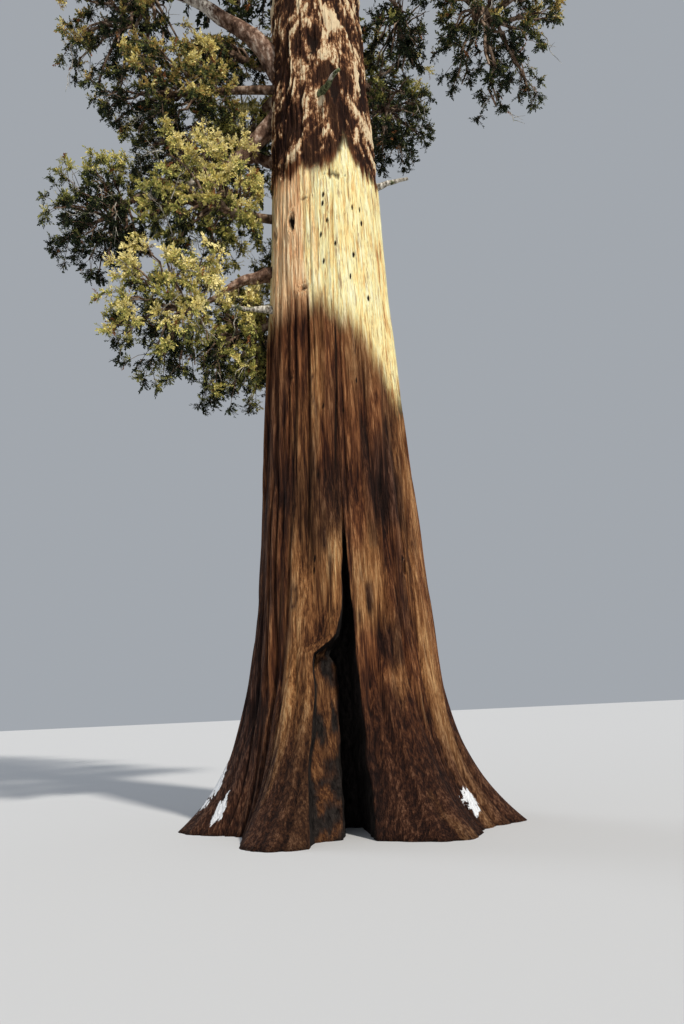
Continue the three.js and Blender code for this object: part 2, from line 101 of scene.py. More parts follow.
# name, height on the trunk, centre (bearing, distance, height), size, look
SEEN_MASSES = [
    ("left_high_inner", 27.4, (163, 4.2, 29.6), (3.0, 2.6, 3.0), "bronze"),
    ("left_inner", 25.8, (186, 5.8, 25.4), (2.6, 2.3, 2.3), "shaded"),
    ("left_green", 20.2, (187, 4.5, 20.9), (2.7, 2.5, 2.7), "light"),
    ("left_lowest", 16.4, (171, 3.7, 16.0), (2.2, 2.1, 2.6), "light"),
    ("back_lowest", 17.6, (126, 4.5, 17.4), (2.8, 2.5, 2.6), "olive"),
]
STUB_KEYS = ("name", "bearing", "height", "out", "rise", "arch", "radius", "swing")
STUBS = [
    ("right_dead_stub", -3, 21.3, 3.05, 0.4, 0.05, 0.12, 0),
    ("front_dead_stub", -94, 23.9, 2.9, 0.15, 0.05, 0.13, 18),
    ("left_dead_stub", 197, 16.6, 3.4, -0.15, -0.15, 0.12, 0),
]
UPPER = Values(count=22, first=33.6, last=72.0, crowding=0.95, bearing=205)
UPPER_SIZE = Values(low=5.9, high=3.5, height=0.88)
UPPER_BOUGH = Values(
    every=4, below=17, share=0.55, extra=0.6, drop=0.45, arch=-0.35, thickness=0.2, highest=TRUNK_TIP - 2
)
DOME = Values(radius=9.9, widest=32)
NEAREST = 1.6
MASS_INSET = 0.95
LEADER = Values(centre=75.5, size=(2.9, 2.7, 3.0), stem=0.06)

UP = np.array([0.0, 0.0, 1.0])
UPRIGHT = 0.9  # the upward share of a direction from which it counts as upright


# Small tools


def named(keys, row):
    """The row's values by name. A limb whose row has no swing runs straight out."""
    return Values(**{"swing": 0, **dict(zip(keys, row))})


def polar(bearing, distance, height):
    turn, distance, height = np.broadcast_arrays(np.radians(bearing), distance, height)
    return np.stack([distance * np.cos(turn), distance * np.sin(turn), height], -1)


def length_of(vectors):
    return np.linalg.norm(vectors, axis=-1)


def unit(vectors):
    return vectors / np.maximum(length_of(vectors), 1e-9)[..., None]


def lerp(a, b, share):
    return a + (b - a) * share


def smooth(low, high, value):
    share = np.clip((value - low) / (high - low), 0, 1)
    return share * share * (3 - 2 * share)


def bell(value, width=1):
    """1 where the value is nought, falling away within about the width."""
    return np.exp(-((value / width) ** 2))


def only(kept, *arrays):
    return [array[kept] for array in arrays]


def lattice(x, y, z, seed):
    """A seeded number from 0 to 1 for each whole-numbered point."""
    n = (x * 374761393 + y * 668265263 + z * 1440662683 + seed * 1013904223) & 0xFFFFFFFF
    n = ((n ^ (n >> 13)) * 1274126177) & 0xFFFFFFFF
    n = ((n ^ (n >> 15)) * 2246822519) & 0xFFFFFFFF
    return ((n ^ (n >> 16)) & 0xFFFFFF) / 0xFFFFFF


def noise(points, seed):
    """Smooth noise from -1 to 1."""
    whole = np.floor(points).astype(np.int64)
    part = points - whole
    part = part * part * part * (part * (part * 6 - 15) + 10)
    total = 0
    for corner in np.ndindex(2, 2, 2):
        near = np.abs(1 - np.array(corner) - part)
        value = lattice(*np.moveaxis(whole + corner, -1, 0), seed)
        total = total + near[..., 0] * near[..., 1] * near[..., 2] * value
    return 2 * total - 1


def make_piece(name, points, polygons, materials, kinds=None, attributes=None, shade_smooth=False):
    """A mesh from points in metres of the real tree and blocks of polygons with equal numbers of corners."""
    mesh = bpy.data.meshes.new(name)
    corners = np.concatenate([block.ravel() for block in polygons]).astype(np.int32)
    totals = np.concatenate([np.full(len(block), block.shape[1]) for block in polygons])
    starts = np.concatenate([[0], np.cumsum(totals)[:-1]]).astype(np.int32)
    mesh.vertices.add(len(points))
    mesh.vertices.foreach_set("co", (points * K).astype(np.float32).ravel())
    mesh.loops.add(len(corners))
    mesh.loops.foreach_set("vertex_index", corners)
    mesh.polygons.add(len(totals))
    mesh.polygons.foreach_set("loop_start", starts)
    for material in materials:
        mesh.materials.append(material)
    if kinds is not None:
        mesh.polygons.foreach_set("material_index", kinds.astype(np.int32))
    mesh.polygons.foreach_set("use_smooth", np.full(len(totals), shade_smooth))
    for label, values in (attributes or {}).items():
        made = mesh.attributes.new(label, "FLOAT", "POINT")
        made.data.foreach_set("value", values.astype(np.float32))
    mesh.update(calc_edges=True)
    mesh.validate()
    piece = bpy.data.objects.new(name, mesh)
    bpy.context.scene.collection.objects.link(piece)
    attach(piece, "root")
    return piece


def belts(along, sides):
    """A ring of directions square to each direction along."""
    side = unit(np.cross(along, np.where(np.abs(along[:, 2:]) > UPRIGHT, [1.0, 0, 0], UP)))
    other = np.cross(along, side)
    turn = 2 * np.pi * np.arange(sides) / sides
    return side[:, None] * np.cos(turn)[None, :, None] + other[:, None] * np.sin(turn)[None, :, None]


def wrapped(rings, sides):
    """The four-cornered faces between rings of points, each ring closed."""
    step = np.arange(rings - 1)[:, None] * sides
    side = np.arange(sides)[None]
    after = (side + 1) % sides
    faces = np.stack([step + side, step + after, step + sides + after, step + sides + side], -1)
    return faces.reshape(-1, 4)


def tubes(paths, radii, sides):
    """Points and faces of round tubes. paths is (tubes, rings, 3), radii (tubes, rings)."""
    count, rings = radii.shape
    ring = belts(unit(paths[:, -1] - paths[:, 0]), sides)
    points = paths[:, :, None] + radii[:, :, None, None] * ring[:, None]
    offsets = np.arange(count)[:, None, None] * rings * sides
    return points.reshape(-1, 3), (wrapped(rings, sides) + offsets).reshape(-1, 4)


def cones(starts, ends, widths):
    """Points and faces of three-sided cones."""
    belt = starts[:, None] + belts(unit(ends - starts), 3) * (widths / 2)[:, None, None]
    points = np.concatenate([belt, ends[:, None]], 1).reshape(-1, 3)
    pattern = np.array([[0, 1, 3], [1, 2, 3], [2, 0, 3]])
    return points, (pattern[None] + 4 * np.arange(len(starts))[:, None, None]).reshape(-1, 3)


class Heap:
    """Points and faces of many small things, gathered for one piece."""

    def __init__(self):
        self.points, self.faces, self.kinds, self.count, self.triangles = [], [], [], 0, 0

    def add(self, points, faces, kinds=None):
        self.points.append(points)
        self.count += len(points)
        self.add_faces(faces, kinds)

    def add_faces(self, faces, kinds=None):
        """Faces on the points added last."""
        self.faces.append(faces + self.count - len(self.points[-1]))
        self.kinds.append(np.zeros(len(faces)) if kinds is None else kinds)
        self.triangles += len(faces) * (faces.shape[1] - 2)

    def join(self, other):
        self.faces += [block + self.count for block in other.faces]
        self.kinds += other.kinds
        self.points += other.points
        self.count += other.count
        self.triangles += other.triangles

    def piece(self, name, materials, shade_smooth=False):
        points, kinds = np.concatenate(self.points), np.concatenate(self.kinds)
        return make_piece(name, points, self.faces, materials, kinds, shade_smooth=shade_smooth)


# Trunk


def body_radius(height):
    shaft = SHAFT.radius * np.maximum(0, 1 - height / TRUNK_TIP) ** SHAFT.taper
    return np.maximum(SHAFT.tip, shaft + BUTT.swelling * bell(height, BUTT.height))


def turned_by(bearing, middle=0):
    """How far the bearing is from a middle one, from -180 to 180."""
    return (bearing - middle + 180) % 360 - 180


def trunk_radius(bearing, height):
    """The radius of the plain trunk. ridge is 1 on a buttress's ridge and falls towards 0 between two."""
    ridge = sum(bell(turned_by(bearing, middle), BUTTRESS_WIDTH) for middle in BUTTRESSES)
    flare = FLARE.reach * np.exp(-height / FLARE.height)
    flute = FLUTE.depth * np.exp(-height / FLUTE.height) * (ridge - 1)
    return body_radius(height) * (1 + flute) + flare * (FLARE.valley + (1 - FLARE.valley) * ridge)


def bearing_at(x, height):
    """The bearing on the scar's side of the trunk where the bark has this x."""
    bearing = np.full_like(x, -90.0)
    for _ in range(12):
        across = np.clip(x / trunk_radius(bearing, height), -0.999, 0.999)
        bearing = -np.degrees(np.arccos(across))
    return bearing


def off_to_side(bearing, height, middle):
    """How far along the bark a bearing is from a middle one."""
    return np.radians(turned_by(bearing, middle)) * body_radius(height)


# Marks in the bark: bearing, height, half width, half height, and how deep they go in
KNOTS = [
    (-79, 20.75, 0.4, 0.2, 0.07), (-125.7, 19.1, 0.1, 0.34, 0.14), (-111.5, 19.9, 0.22, 0.09, 0.05),
    (-114.9, 16.5, 0.2, 0.14, 0.09), (-72, 24.2, 0.26, 0.42, 0.1), (-41.3, 7.2, 0.17, 0.22, 0.11),
    (-97, 26.3, 0.22, 0.5, 0.1), (-128, 13.4, 0.1, 0.2, 0.06), (-152, 19.0, 0.14, 0.3, 0.06),
    (20, 18.5, 0.3, 0.3, 0.12), (95, 14.0, 0.35, 0.4, 0.14), (150, 19.5, 0.28, 0.3, 0.12),
    (60, 26.0, 0.35, 0.3, 0.12),
]
# The dark core of a knot: partly its own colour, partly painted shade, darker the deeper it goes in
KNOT = Values(rim=1.4, width=0.1, dimple=1.3, proud=0.5, pale=0.25, dark=0.35, darker=2.0, edge=0.9)
# Small holes, painted dark as the shade inside them: bearing and height, and the size of each
HOLES = [
    (-91.1, 19.84), (-91.4, 19.56), (-58.4, 19.59), (-50.2, 19.5), (-48.8, 19.05), (-93.7, 18.29),
    (-79.8, 17.98), (-60.7, 17.7), (-50, 16.2), (-92, 17.4), (-87, 18.8), (-66, 16.9), (-107.7, 7.4),
    (-109, 7.13), (-42.4, 7.0), (-44, 7.4), (-100, 12.2), (-70, 13.1), (-84, 12.0), (-104, 10.1),
]
HOLE = Values(wide=0.03, tall=0.06, deep=0.05, dark=1.6)

# Where the bark is paler, partly painted sunlight, and where painted shade darkens it: bearing, height, half
# angle, half height and amount
PALE_AND_SUNLIT_PATCHES = [
    (-116, 7.6, 13, 3.2, 0.55), (-121, 3.9, 7, 1.5, 0.75), (-95, 7.0, 5, 1.3, 0.7), (-69, 6.9, 11, 1.5, 0.6),
    (-58, 3.9, 8, 0.6, 0.35), (-27, 3.4, 9, 3.4, 0.55), (-34, 9.5, 10, 4.0, 0.4), (-20, 13.5, 10, 5.5, 0.4),
    (-104, 13.2, 9, 1.8, 0.5), (-112, 11.5, 12, 1.6, 0.25), (-60, 14.2, 22, 1.4, 0.4),
    (150, 6.0, 18, 4.0, 0.5), (85, 11.0, 22, 5.0, 0.4), (30, 6.0, 14, 5.0, 0.5),
]
PAINTED_SHADE_PATCHES = [
    (-166, 3.2, 22, 4.2, 1), (-150, 10.5, 20, 5.5, 0.6), (-122, 9.3, 20, 1.6, 0.6), (-92, 9.5, 16, 1.4, 0.8),
    (-52, 9.6, 24, 1.8, 0.95), (-64, 13.4, 10, 1.1, 0.4), (-62, 4.9, 8, 0.7, 0.8), (-68, 3.0, 12, 1.1, 0.7),
    (-50, 6.0, 7, 1.0, 0.75), (-88, 11.4, 7, 2.6, 0.45), (-40, 12.6, 9, 3.6, 0.5), (-47, 7.2, 6, 2.2, 0.6),
    (-140, 1.2, 30, 1.3, 0.7), (110, 3.0, 30, 3.0, 0.7), (5, 5.0, 12, 4.0, 0.6), (60, 2.0, 25, 2.0, 0.6),
]
# Painted shade on the foot: how much, heights where full and gone, how much less under the sunlit patches
PAINTED_SHADE_FOOT = Values(amount=0.82, full=1.2, gone=4.8, under_pale=0.7)

# Streaks in the bark: about how wide and tall they are, their seed and their strength
STREAKS = {
    "sway": (1.3, 4.5, 3, 3.2), "wander": (0.9, 1.7, 5, 0.9), "ragged": (0.4, 1.4, 6, 0.5),
    "frayed": (0.12, 0.3, 7, 1.6), "blush": (0.22, 2.6, 8, 13), "edges": (0.35, 1.6, 9, 0.9),
    "nicks": (0.15, 0.8, 10, 0.6), "furrows": (0.62, 13, 11, 1), "creases": (0.36, 7, 12, 1),
    "cords": (0.15, 3, 13, 1), "fibres": (0.08, 1.5, 14, 1), "grooves": (1.05, 16, 15, 1),
    "swell": (1.5, 7, 16, 1), "plates": (0.27, 0.8, 17, 0.9), "chips": (0.12, 0.45, 18, 0.6),
    "wobble": (0.55, 1, 19, 11), "blotches": (0.8, 1.3, 19, 0.75), "knobs": (0.22, 0.35, 20, 0.3),
    "tongues": (0.4, 2.2, 21, 0.7), "bays": (1.3, 4, 22, 0.5), "splinters": (0.16, 1.2, 23, 0.5),
}
RIGHT_SEEDS = 10  # added to the seeds of the plates that lean to the right
GRAIN_CIRCLE = 2.6  # the radius of the circle in the noise that the bearings run round


def streak(bearing, height, name, more=0):
    """Noise drawn out along the trunk, in the streaks of this name. more is added to the seed."""
    width, tall, seed, strength = STREAKS[name]
    turn = np.radians(bearing)
    around = np.stack([np.cos(turn), np.sin(turn)], -1) * GRAIN_CIRCLE / width
    return strength * noise(np.concatenate([around, (height / tall)[..., None]], -1), seed + more)


def patched(patches, bearing, height):
    """How much of the patches' colour the bark has, with frayed edges."""
    total = np.zeros_like(height)
    frayed = 1 + streak(bearing, height, "edges") + streak(bearing, height, "nicks")
    for middle, tall, angle, half, amount in patches:
        far = (turned_by(bearing, middle) / angle) ** 2 + ((height - tall) / half) ** 2
        total = np.maximum(total, amount * bell(far * frayed))
    return total


# Shaggy bark in the crown, its light and dark plates partly painted sunlight and shadow: where it ends, how
# its plates lean, and the shaded part on the left as bearings
SHAG = Values(fades=42, gone=60, lean=15.0, middle=-86, sharpness=2.2, starts=(-0.15, 0.35))
SHADED = Values(amount=0.22, right=(-104, -122), left=(-175, -160))
# The thin crack that runs up from beside the scar: heights and bearings, its width, where it ends, and where
# it is painted dark as the shade inside it
SEAM = [(9.5, -92.5), (11.0, -91.3), (15.2, -86.5), (20.6, -81.0)]
SEAM_ENDS = Values(width=0.035, low=(9.8, 10.4), high=(19.8, 20.6), dark=(14.5, 16.0), darkness=0.8)
# Half widths of the lines between the cords of bark
FURROW, CREASE, GROOVE = 0.13, 0.17, 0.17
# How far each kind stands out or goes in, and how much it tells in the colour
STAND = Values(
    swell=0.04, furrow=0.1, crease=0.075, cord=0.045, fibre=0.028, groove=0.3, shaggy=0.6, flake=0.09,
    seam=0.06,
)
TELLS = Values(crease=0.75, groove=0.7, low=2.2, cord=0.22, fibre=0.16, seam=0.45, flake=0.55)
SMOOTHED = 0.85  # how much of the furrows the golden band lacks
LOW_HEIGHT = 2.8
THIN = Values(full=2.2, least=0.25, most=1.1)  # all of it shrinks with the radius of the trunk


def flakes_and_sun_flecks_at(bearing, height):
    """Loose plates of bark leaning away from the middle of the front, left and right; partly painted sun and
    shade.
    """
    grain = partial(streak, bearing, height)
    beside = SHAG.sharpness * np.sin(np.radians(bearing - SHAG.middle)) + grain("wander")
    fields = []
    for lean, more in ((-SHAG.lean, 0), (SHAG.lean, RIGHT_SEEDS)):
        along = bearing + lean * height + grain("wobble", more)
        fields.append(streak(along, height, "plates", more) + streak(along, height, "chips", more))
    turn = turned_by(bearing)
    shaded = SHADED.amount * smooth(*SHADED.right, turn) * smooth(*SHADED.left, turn)
    return lerp(*fields, 0.5 + 0.5 * np.clip(beside, -1, 1)) + grain("blotches") + grain("knobs") - shaded


def bark_relief(bearing, height):
    """How far the bark stands out from the plain trunk, and what its colours follow."""
    bearing = bearing + streak(bearing, height, "sway")
    grain = partial(streak, bearing, height)
    low = np.exp(-height / LOW_HEIGHT)
    above = height - band_edge(BAND_TOP, bearing) + grain("ragged")
    shag = smooth(*SHAG.starts, above) * (1 - smooth(SHAG.fades, SHAG.gone, height))
    thin = np.clip(body_radius(height) / THIN.full, THIN.least, THIN.most)

    main, second = bell(grain("furrows"), FURROW), bell(grain("creases"), CREASE)
    cords, fibres = grain("cords"), grain("fibres")
    grooves = bell(grain("grooves"), GROOVE)
    rough = 1 - SMOOTHED * golden_sunlit_band(bearing, height)
    stand = STAND.swell * grain("swell") - rough * (STAND.furrow * main + STAND.crease * second)
    stand = stand + STAND.cord * cords + STAND.fibre * fibres - STAND.groove * grooves * low
    flake = flakes_and_sun_flecks_at(bearing, height)
    stand = thin * lerp(stand, STAND.shaggy * stand + STAND.flake * flake, shag)

    furrow = 1 - np.maximum(main, TELLS.crease * second) * rough
    furrow = furrow * (1 - TELLS.groove * grooves * np.clip(TELLS.low * low, 0, 1))
    furrow = furrow + TELLS.cord * cords + TELLS.fibre * fibres
    # dark: the knots' cores, partly painted shade, and painted shade in the holes and the crack
    dark = np.zeros_like(height)
    frays = grain("frayed")
    for middle, tall, wide, half, deep in KNOTS:
        far = (off_to_side(bearing, height, middle) / wide) ** 2 + ((height - tall) / half) ** 2
        frayed = np.maximum(far + frays * np.minimum(far, 1), 0)
        rim = np.exp(-((np.sqrt(far) - KNOT.rim) ** 2) / KNOT.width)
        stand = stand - deep * np.exp(-far * KNOT.dimple) + KNOT.proud * deep * rim
        dark = np.maximum(dark, (KNOT.dark + KNOT.darker * deep) * bell(frayed, KNOT.edge))
        furrow = furrow + KNOT.pale * rim
    for middle, tall in HOLES:
        on_row = ROWS.step * round(tall / ROWS.step)
        far = (off_to_side(bearing, height, middle) / HOLE.wide) ** 2 + ((height - on_row) / HOLE.tall) ** 2
        stand = stand - HOLE.deep * np.exp(-far)
        dark = np.maximum(dark, np.minimum(HOLE.dark * np.exp(-far), 1))
    seam = bell(off_to_side(bearing, height, np.interp(height, *zip(*SEAM))), SEAM_ENDS.width)
    seam = seam * smooth(*SEAM_ENDS.low, height) * (1 - smooth(*SEAM_ENDS.high, height))
    dark = np.maximum(dark, SEAM_ENDS.darkness * seam * (1 - smooth(*SEAM_ENDS.dark, height)))
    return {
        "stand": stand - STAND.seam * seam,
        "furrow": np.clip(furrow - TELLS.seam * seam, 0, 1),
        "dark": dark,
        "shag": shag,
        "flake": np.clip(0.5 + TELLS.flake * flake, 0, 1),
        # The golden band, partly painted sunlight
        "golden": golden_sunlit_band(bearing, height, BAND.rounder, BAND.softer),
        "blush": blush_at(bearing, height),
    }


# The golden band, partly smoother, paler bark and partly painted sunlight, with a painted shadow edge at its
# bottom:
# bearings and heights of its top and bottom edges, how far their tongues reach and over what height they fade,
# where it is pinker, and how it fades at the back
BAND_TOP = [
    (-180, 21.2), (-145, 21.1), (-126, 21.3), (-94, 21.1), (-80, 21.3), (-68, 22.0), (-56, 21.8),
    (-45, 21.4), (-32, 21.2), (40, 20.8), (180, 21.2),
]
BAND_BOTTOM = [
    (-180, 16.0), (-134, 15.9), (-104, 16.0), (-88, 15.6), (-62, 15.0), (-55, 14.4), (-38, 13.3),
    (-26, 12.9), (-8, 13.4), (20, 14.8), (180, 16.0),
]
BAND = Values(top_jagged=0.6, top_soft=0.2, jagged=0.75, soft=0.35, rounder=0.32, softer=0.75)
BLUSH = Values(right=(-99, -117), left=(-178, -150))
BEHIND = Values(middle=-80, fades=(75, 130), by=0.5)


def band_edge(edge, bearing):
    return np.interp(turned_by(bearing), *zip(*edge))


def blush_at(bearing, height):
    """Where the band is pinker: at its left, ending in ragged streaks."""
    turn = turned_by(bearing)
    return smooth(*BLUSH.right, turn + streak(bearing, height, "blush")) * smooth(*BLUSH.left, turn)


def golden_sunlit_band(bearing, height, jagged=BAND.jagged, soft=BAND.soft):
    """A band of smooth, golden bark under the crown, partly painted sunlight, hanging lowest at the front
    right.
    """
    tongue = sum(streak(bearing, height, name) for name in ("tongues", "bays", "splinters"))
    top = band_edge(BAND_TOP, bearing) + BAND.top_jagged * tongue
    bottom = band_edge(BAND_BOTTOM, bearing) + jagged * tongue
    behind = 1 - BEHIND.by * smooth(*BEHIND.fades, np.abs(turned_by(bearing, BEHIND.middle)))
    return smooth(-soft, soft, height - bottom) * smooth(-BAND.top_soft, BAND.top_soft, top - height) * behind


# Where snow lies on the root flare: bearing, half width, lowest and highest
SNOWS = [
    (-174, 0.42, 0.05, 2.3), (-163, 0.3, 0.1, 1.3), (-33, 0.55, 0.15, 1.25), (58, 0.7, 0.1, 1.3),
    (96, 0.45, 0.1, 0.9),
]
SNOW = Values(edge=(0.2, 0.6), thickness=0.05, bumps=0.4)


def snow_at(bearing, height):
    """How thick the snow lies: 1 in the middle of each patch and 0 outside."""
    most = np.zeros_like(height)
    for middle, width, low, high in SNOWS:
        across = np.radians(turned_by(bearing, middle)) * trunk_radius(bearing, height) / width
        up = (2 * height - low - high) / (high - low)
        most = np.maximum(most, 1 - np.sqrt(across**2 + up**2))
    return most


# The columns of points round the bark, as the bearing that each run ends at and how many it has
BARK_RUNS = [(-55, 42), (0, 66), (180, 112), (225, 50)]
LAST_RUN = 54
ROWS = Values(step=0.17, fine_to=29.0, growth=0.03)
# The crack above the scar. It narrows where the trunk is thinner than its radius full.
CRACK = Values(
    middle=0.13, shift=0.05, by=7, slit=0.006, opening=0.05, deep=0.015, mouth=0.2, closes=0.5, full=1.5,
    least=0.05,
)
# How ragged the edges of the scar's mouth are, except just under its apex
SCAR_EDGE = Values(scale=1.1, row=5, left=0.06, right=0.05, finer=1.4, plain=1.5)
# The columns of points inside the scar, from its left edge to its right one
SCAR_RUNS = {"wall": 12, "ledge": 10, "deep": 10, "back": 8, "right": 14}
# Inside the scar: how its back comes forward under the apex, and the ledge on its left with the heights where
# that ends. Values across are shares of the mouth's width.
INSIDE = Values(over=2.0, forward=0.9, wall_across=0.03, wall_deep=0.85)
LEDGE = Values(ends=(4.4, 5.1), depths=(0.55, 1.0), full=0.8, across=(0.06, 0.5), deep=1.15, bare_to=5.2)
BACK = Values(left=(0.35, 0.5), right=0.78, tilt=0.05)
# The burnt lumps inside it, the bare wood on the ledge, and how black the rest is
LUMPS = Values(across=3.2, up=1.1, wide=0.055, finer=2.3, share=0.6, deep=0.07, other=1.3, onset=2)
BARE_WOOD = Values(fade=3, past=1, patches=1.6, edge=(-0.4, 0.3), pale=0.3, clean=0.8)
CHARRED = Values(full=8.1, gone=8.8, onset=6, crack=0.9, lip=0.1)
# The rounded lips beside the scar's mouth: their widths, where they end, and how they stand out
LIP = Values(left=0.42, right=0.3, ends=(7.5, 10.5), smoother=0.6, left_out=0.1, right_out=0.05, pale=0.5)
PLAIN_TIP = 6  # the height over which the relief fades away at the top
LEAST_RADIUS = 0.02
# What the colours follow inside the scar and the crack above it
INNER = Values(above=0.6, furrow=0.2, wood=0.3, flake=0.2, bearing=-87, shag=(20.9, 21.6))


def trunk_rows():
    rows = [0.0]
    while rows[-1] < TRUNK_TIP:
        rows.append(rows[-1] + ROWS.step + ROWS.growth * max(rows[-1] - ROWS.fine_to, 0))
    rows[-1] = TRUNK_TIP
    return np.array(rows)


def bark_bearings(start, end):
    spans, at = [], start[:, None]
    for stop, count in BARK_RUNS:
        spans.append(lerp(at, stop, np.arange(count)[None] / count))
        at = np.full_like(at, stop)
    spans.append(lerp(at, end[:, None], np.linspace(0, 1, LAST_RUN)[None]))
    return np.concatenate(spans, 1)


def scar_line(height, left, right):
    """The line round the inside of the scar at each height, from its left edge to its right one."""
    below = SCAR.apex - height
    share = np.clip(below / INSIDE.over, 0, 1)
    crack = left[:, 1] + CRACK.deep + CRACK.mouth * np.exp(-np.maximum(-below, 0) / CRACK.closes)
    deepest = np.where(below > 0, np.maximum(SCAR.back - INSIDE.forward * (1 - share), crack), crack)
    width = right[:, 0] - left[:, 0]
    low = 1 - smooth(*LEDGE.ends, height)
    ledge_in = lerp(*LEDGE.depths, low) * np.minimum(1, (deepest - left[:, 1]) / LEDGE.full)

    def stop(across, y):
        return np.stack([left[:, 0] + width * across, y], -1)

    wall = stop(INSIDE.wall_across, left[:, 1] + ledge_in * INSIDE.wall_deep)
    ledge = stop(lerp(*LEDGE.across, low), left[:, 1] + ledge_in * LEDGE.deep)
    back_left = stop(lerp(*BACK.left, low), deepest)
    back_right = stop(BACK.right, deepest - BACK.tilt * np.minimum(1, width))
    stops = [left, wall, ledge, back_left, back_right, right]
    line = []
    for start, end, count in zip(stops, stops[1:], SCAR_RUNS.values()):
        line.append(start[:, None] + (end - start)[:, None] * np.arange(count)[None, :, None] / count)
    return np.concatenate(line, 1)


def edge_at(edge, height):
    xs, heights = np.array(edge[::-1]).T
    return np.interp(height, heights, xs)


def scar_edges(rows):
    """The x of the scar's left and right edge at each height, and of the crack above it."""
    above = np.maximum(rows - SCAR.apex, 0)
    girth = body_radius(rows) / CRACK.full
    middle = CRACK.middle - CRACK.shift * np.minimum(above, CRACK.by) / CRACK.by
    middle = middle * np.clip(girth, 0, 1)
    slit = (CRACK.slit + CRACK.opening * np.exp(-above / CRACK.closes)) * np.clip(girth, CRACK.least, 1)
    inside = rows < SCAR.apex
    left = np.where(inside, np.minimum(edge_at(SCAR_LEFT, rows), middle - slit), middle - slit)
    right = np.where(inside, np.maximum(edge_at(SCAR_RIGHT, rows), middle + slit), middle + slit)
    place = np.stack([rows * SCAR_EDGE.scale, rows * 0 + SCAR_EDGE.row, rows * 0], -1)
    free = inside * np.clip((SCAR.apex - rows) / SCAR_EDGE.plain, 0, 1)
    left = left + SCAR_EDGE.left * noise(place, 41) * free
    return left, right + SCAR_EDGE.right * noise(place * SCAR_EDGE.finer, 42) * free


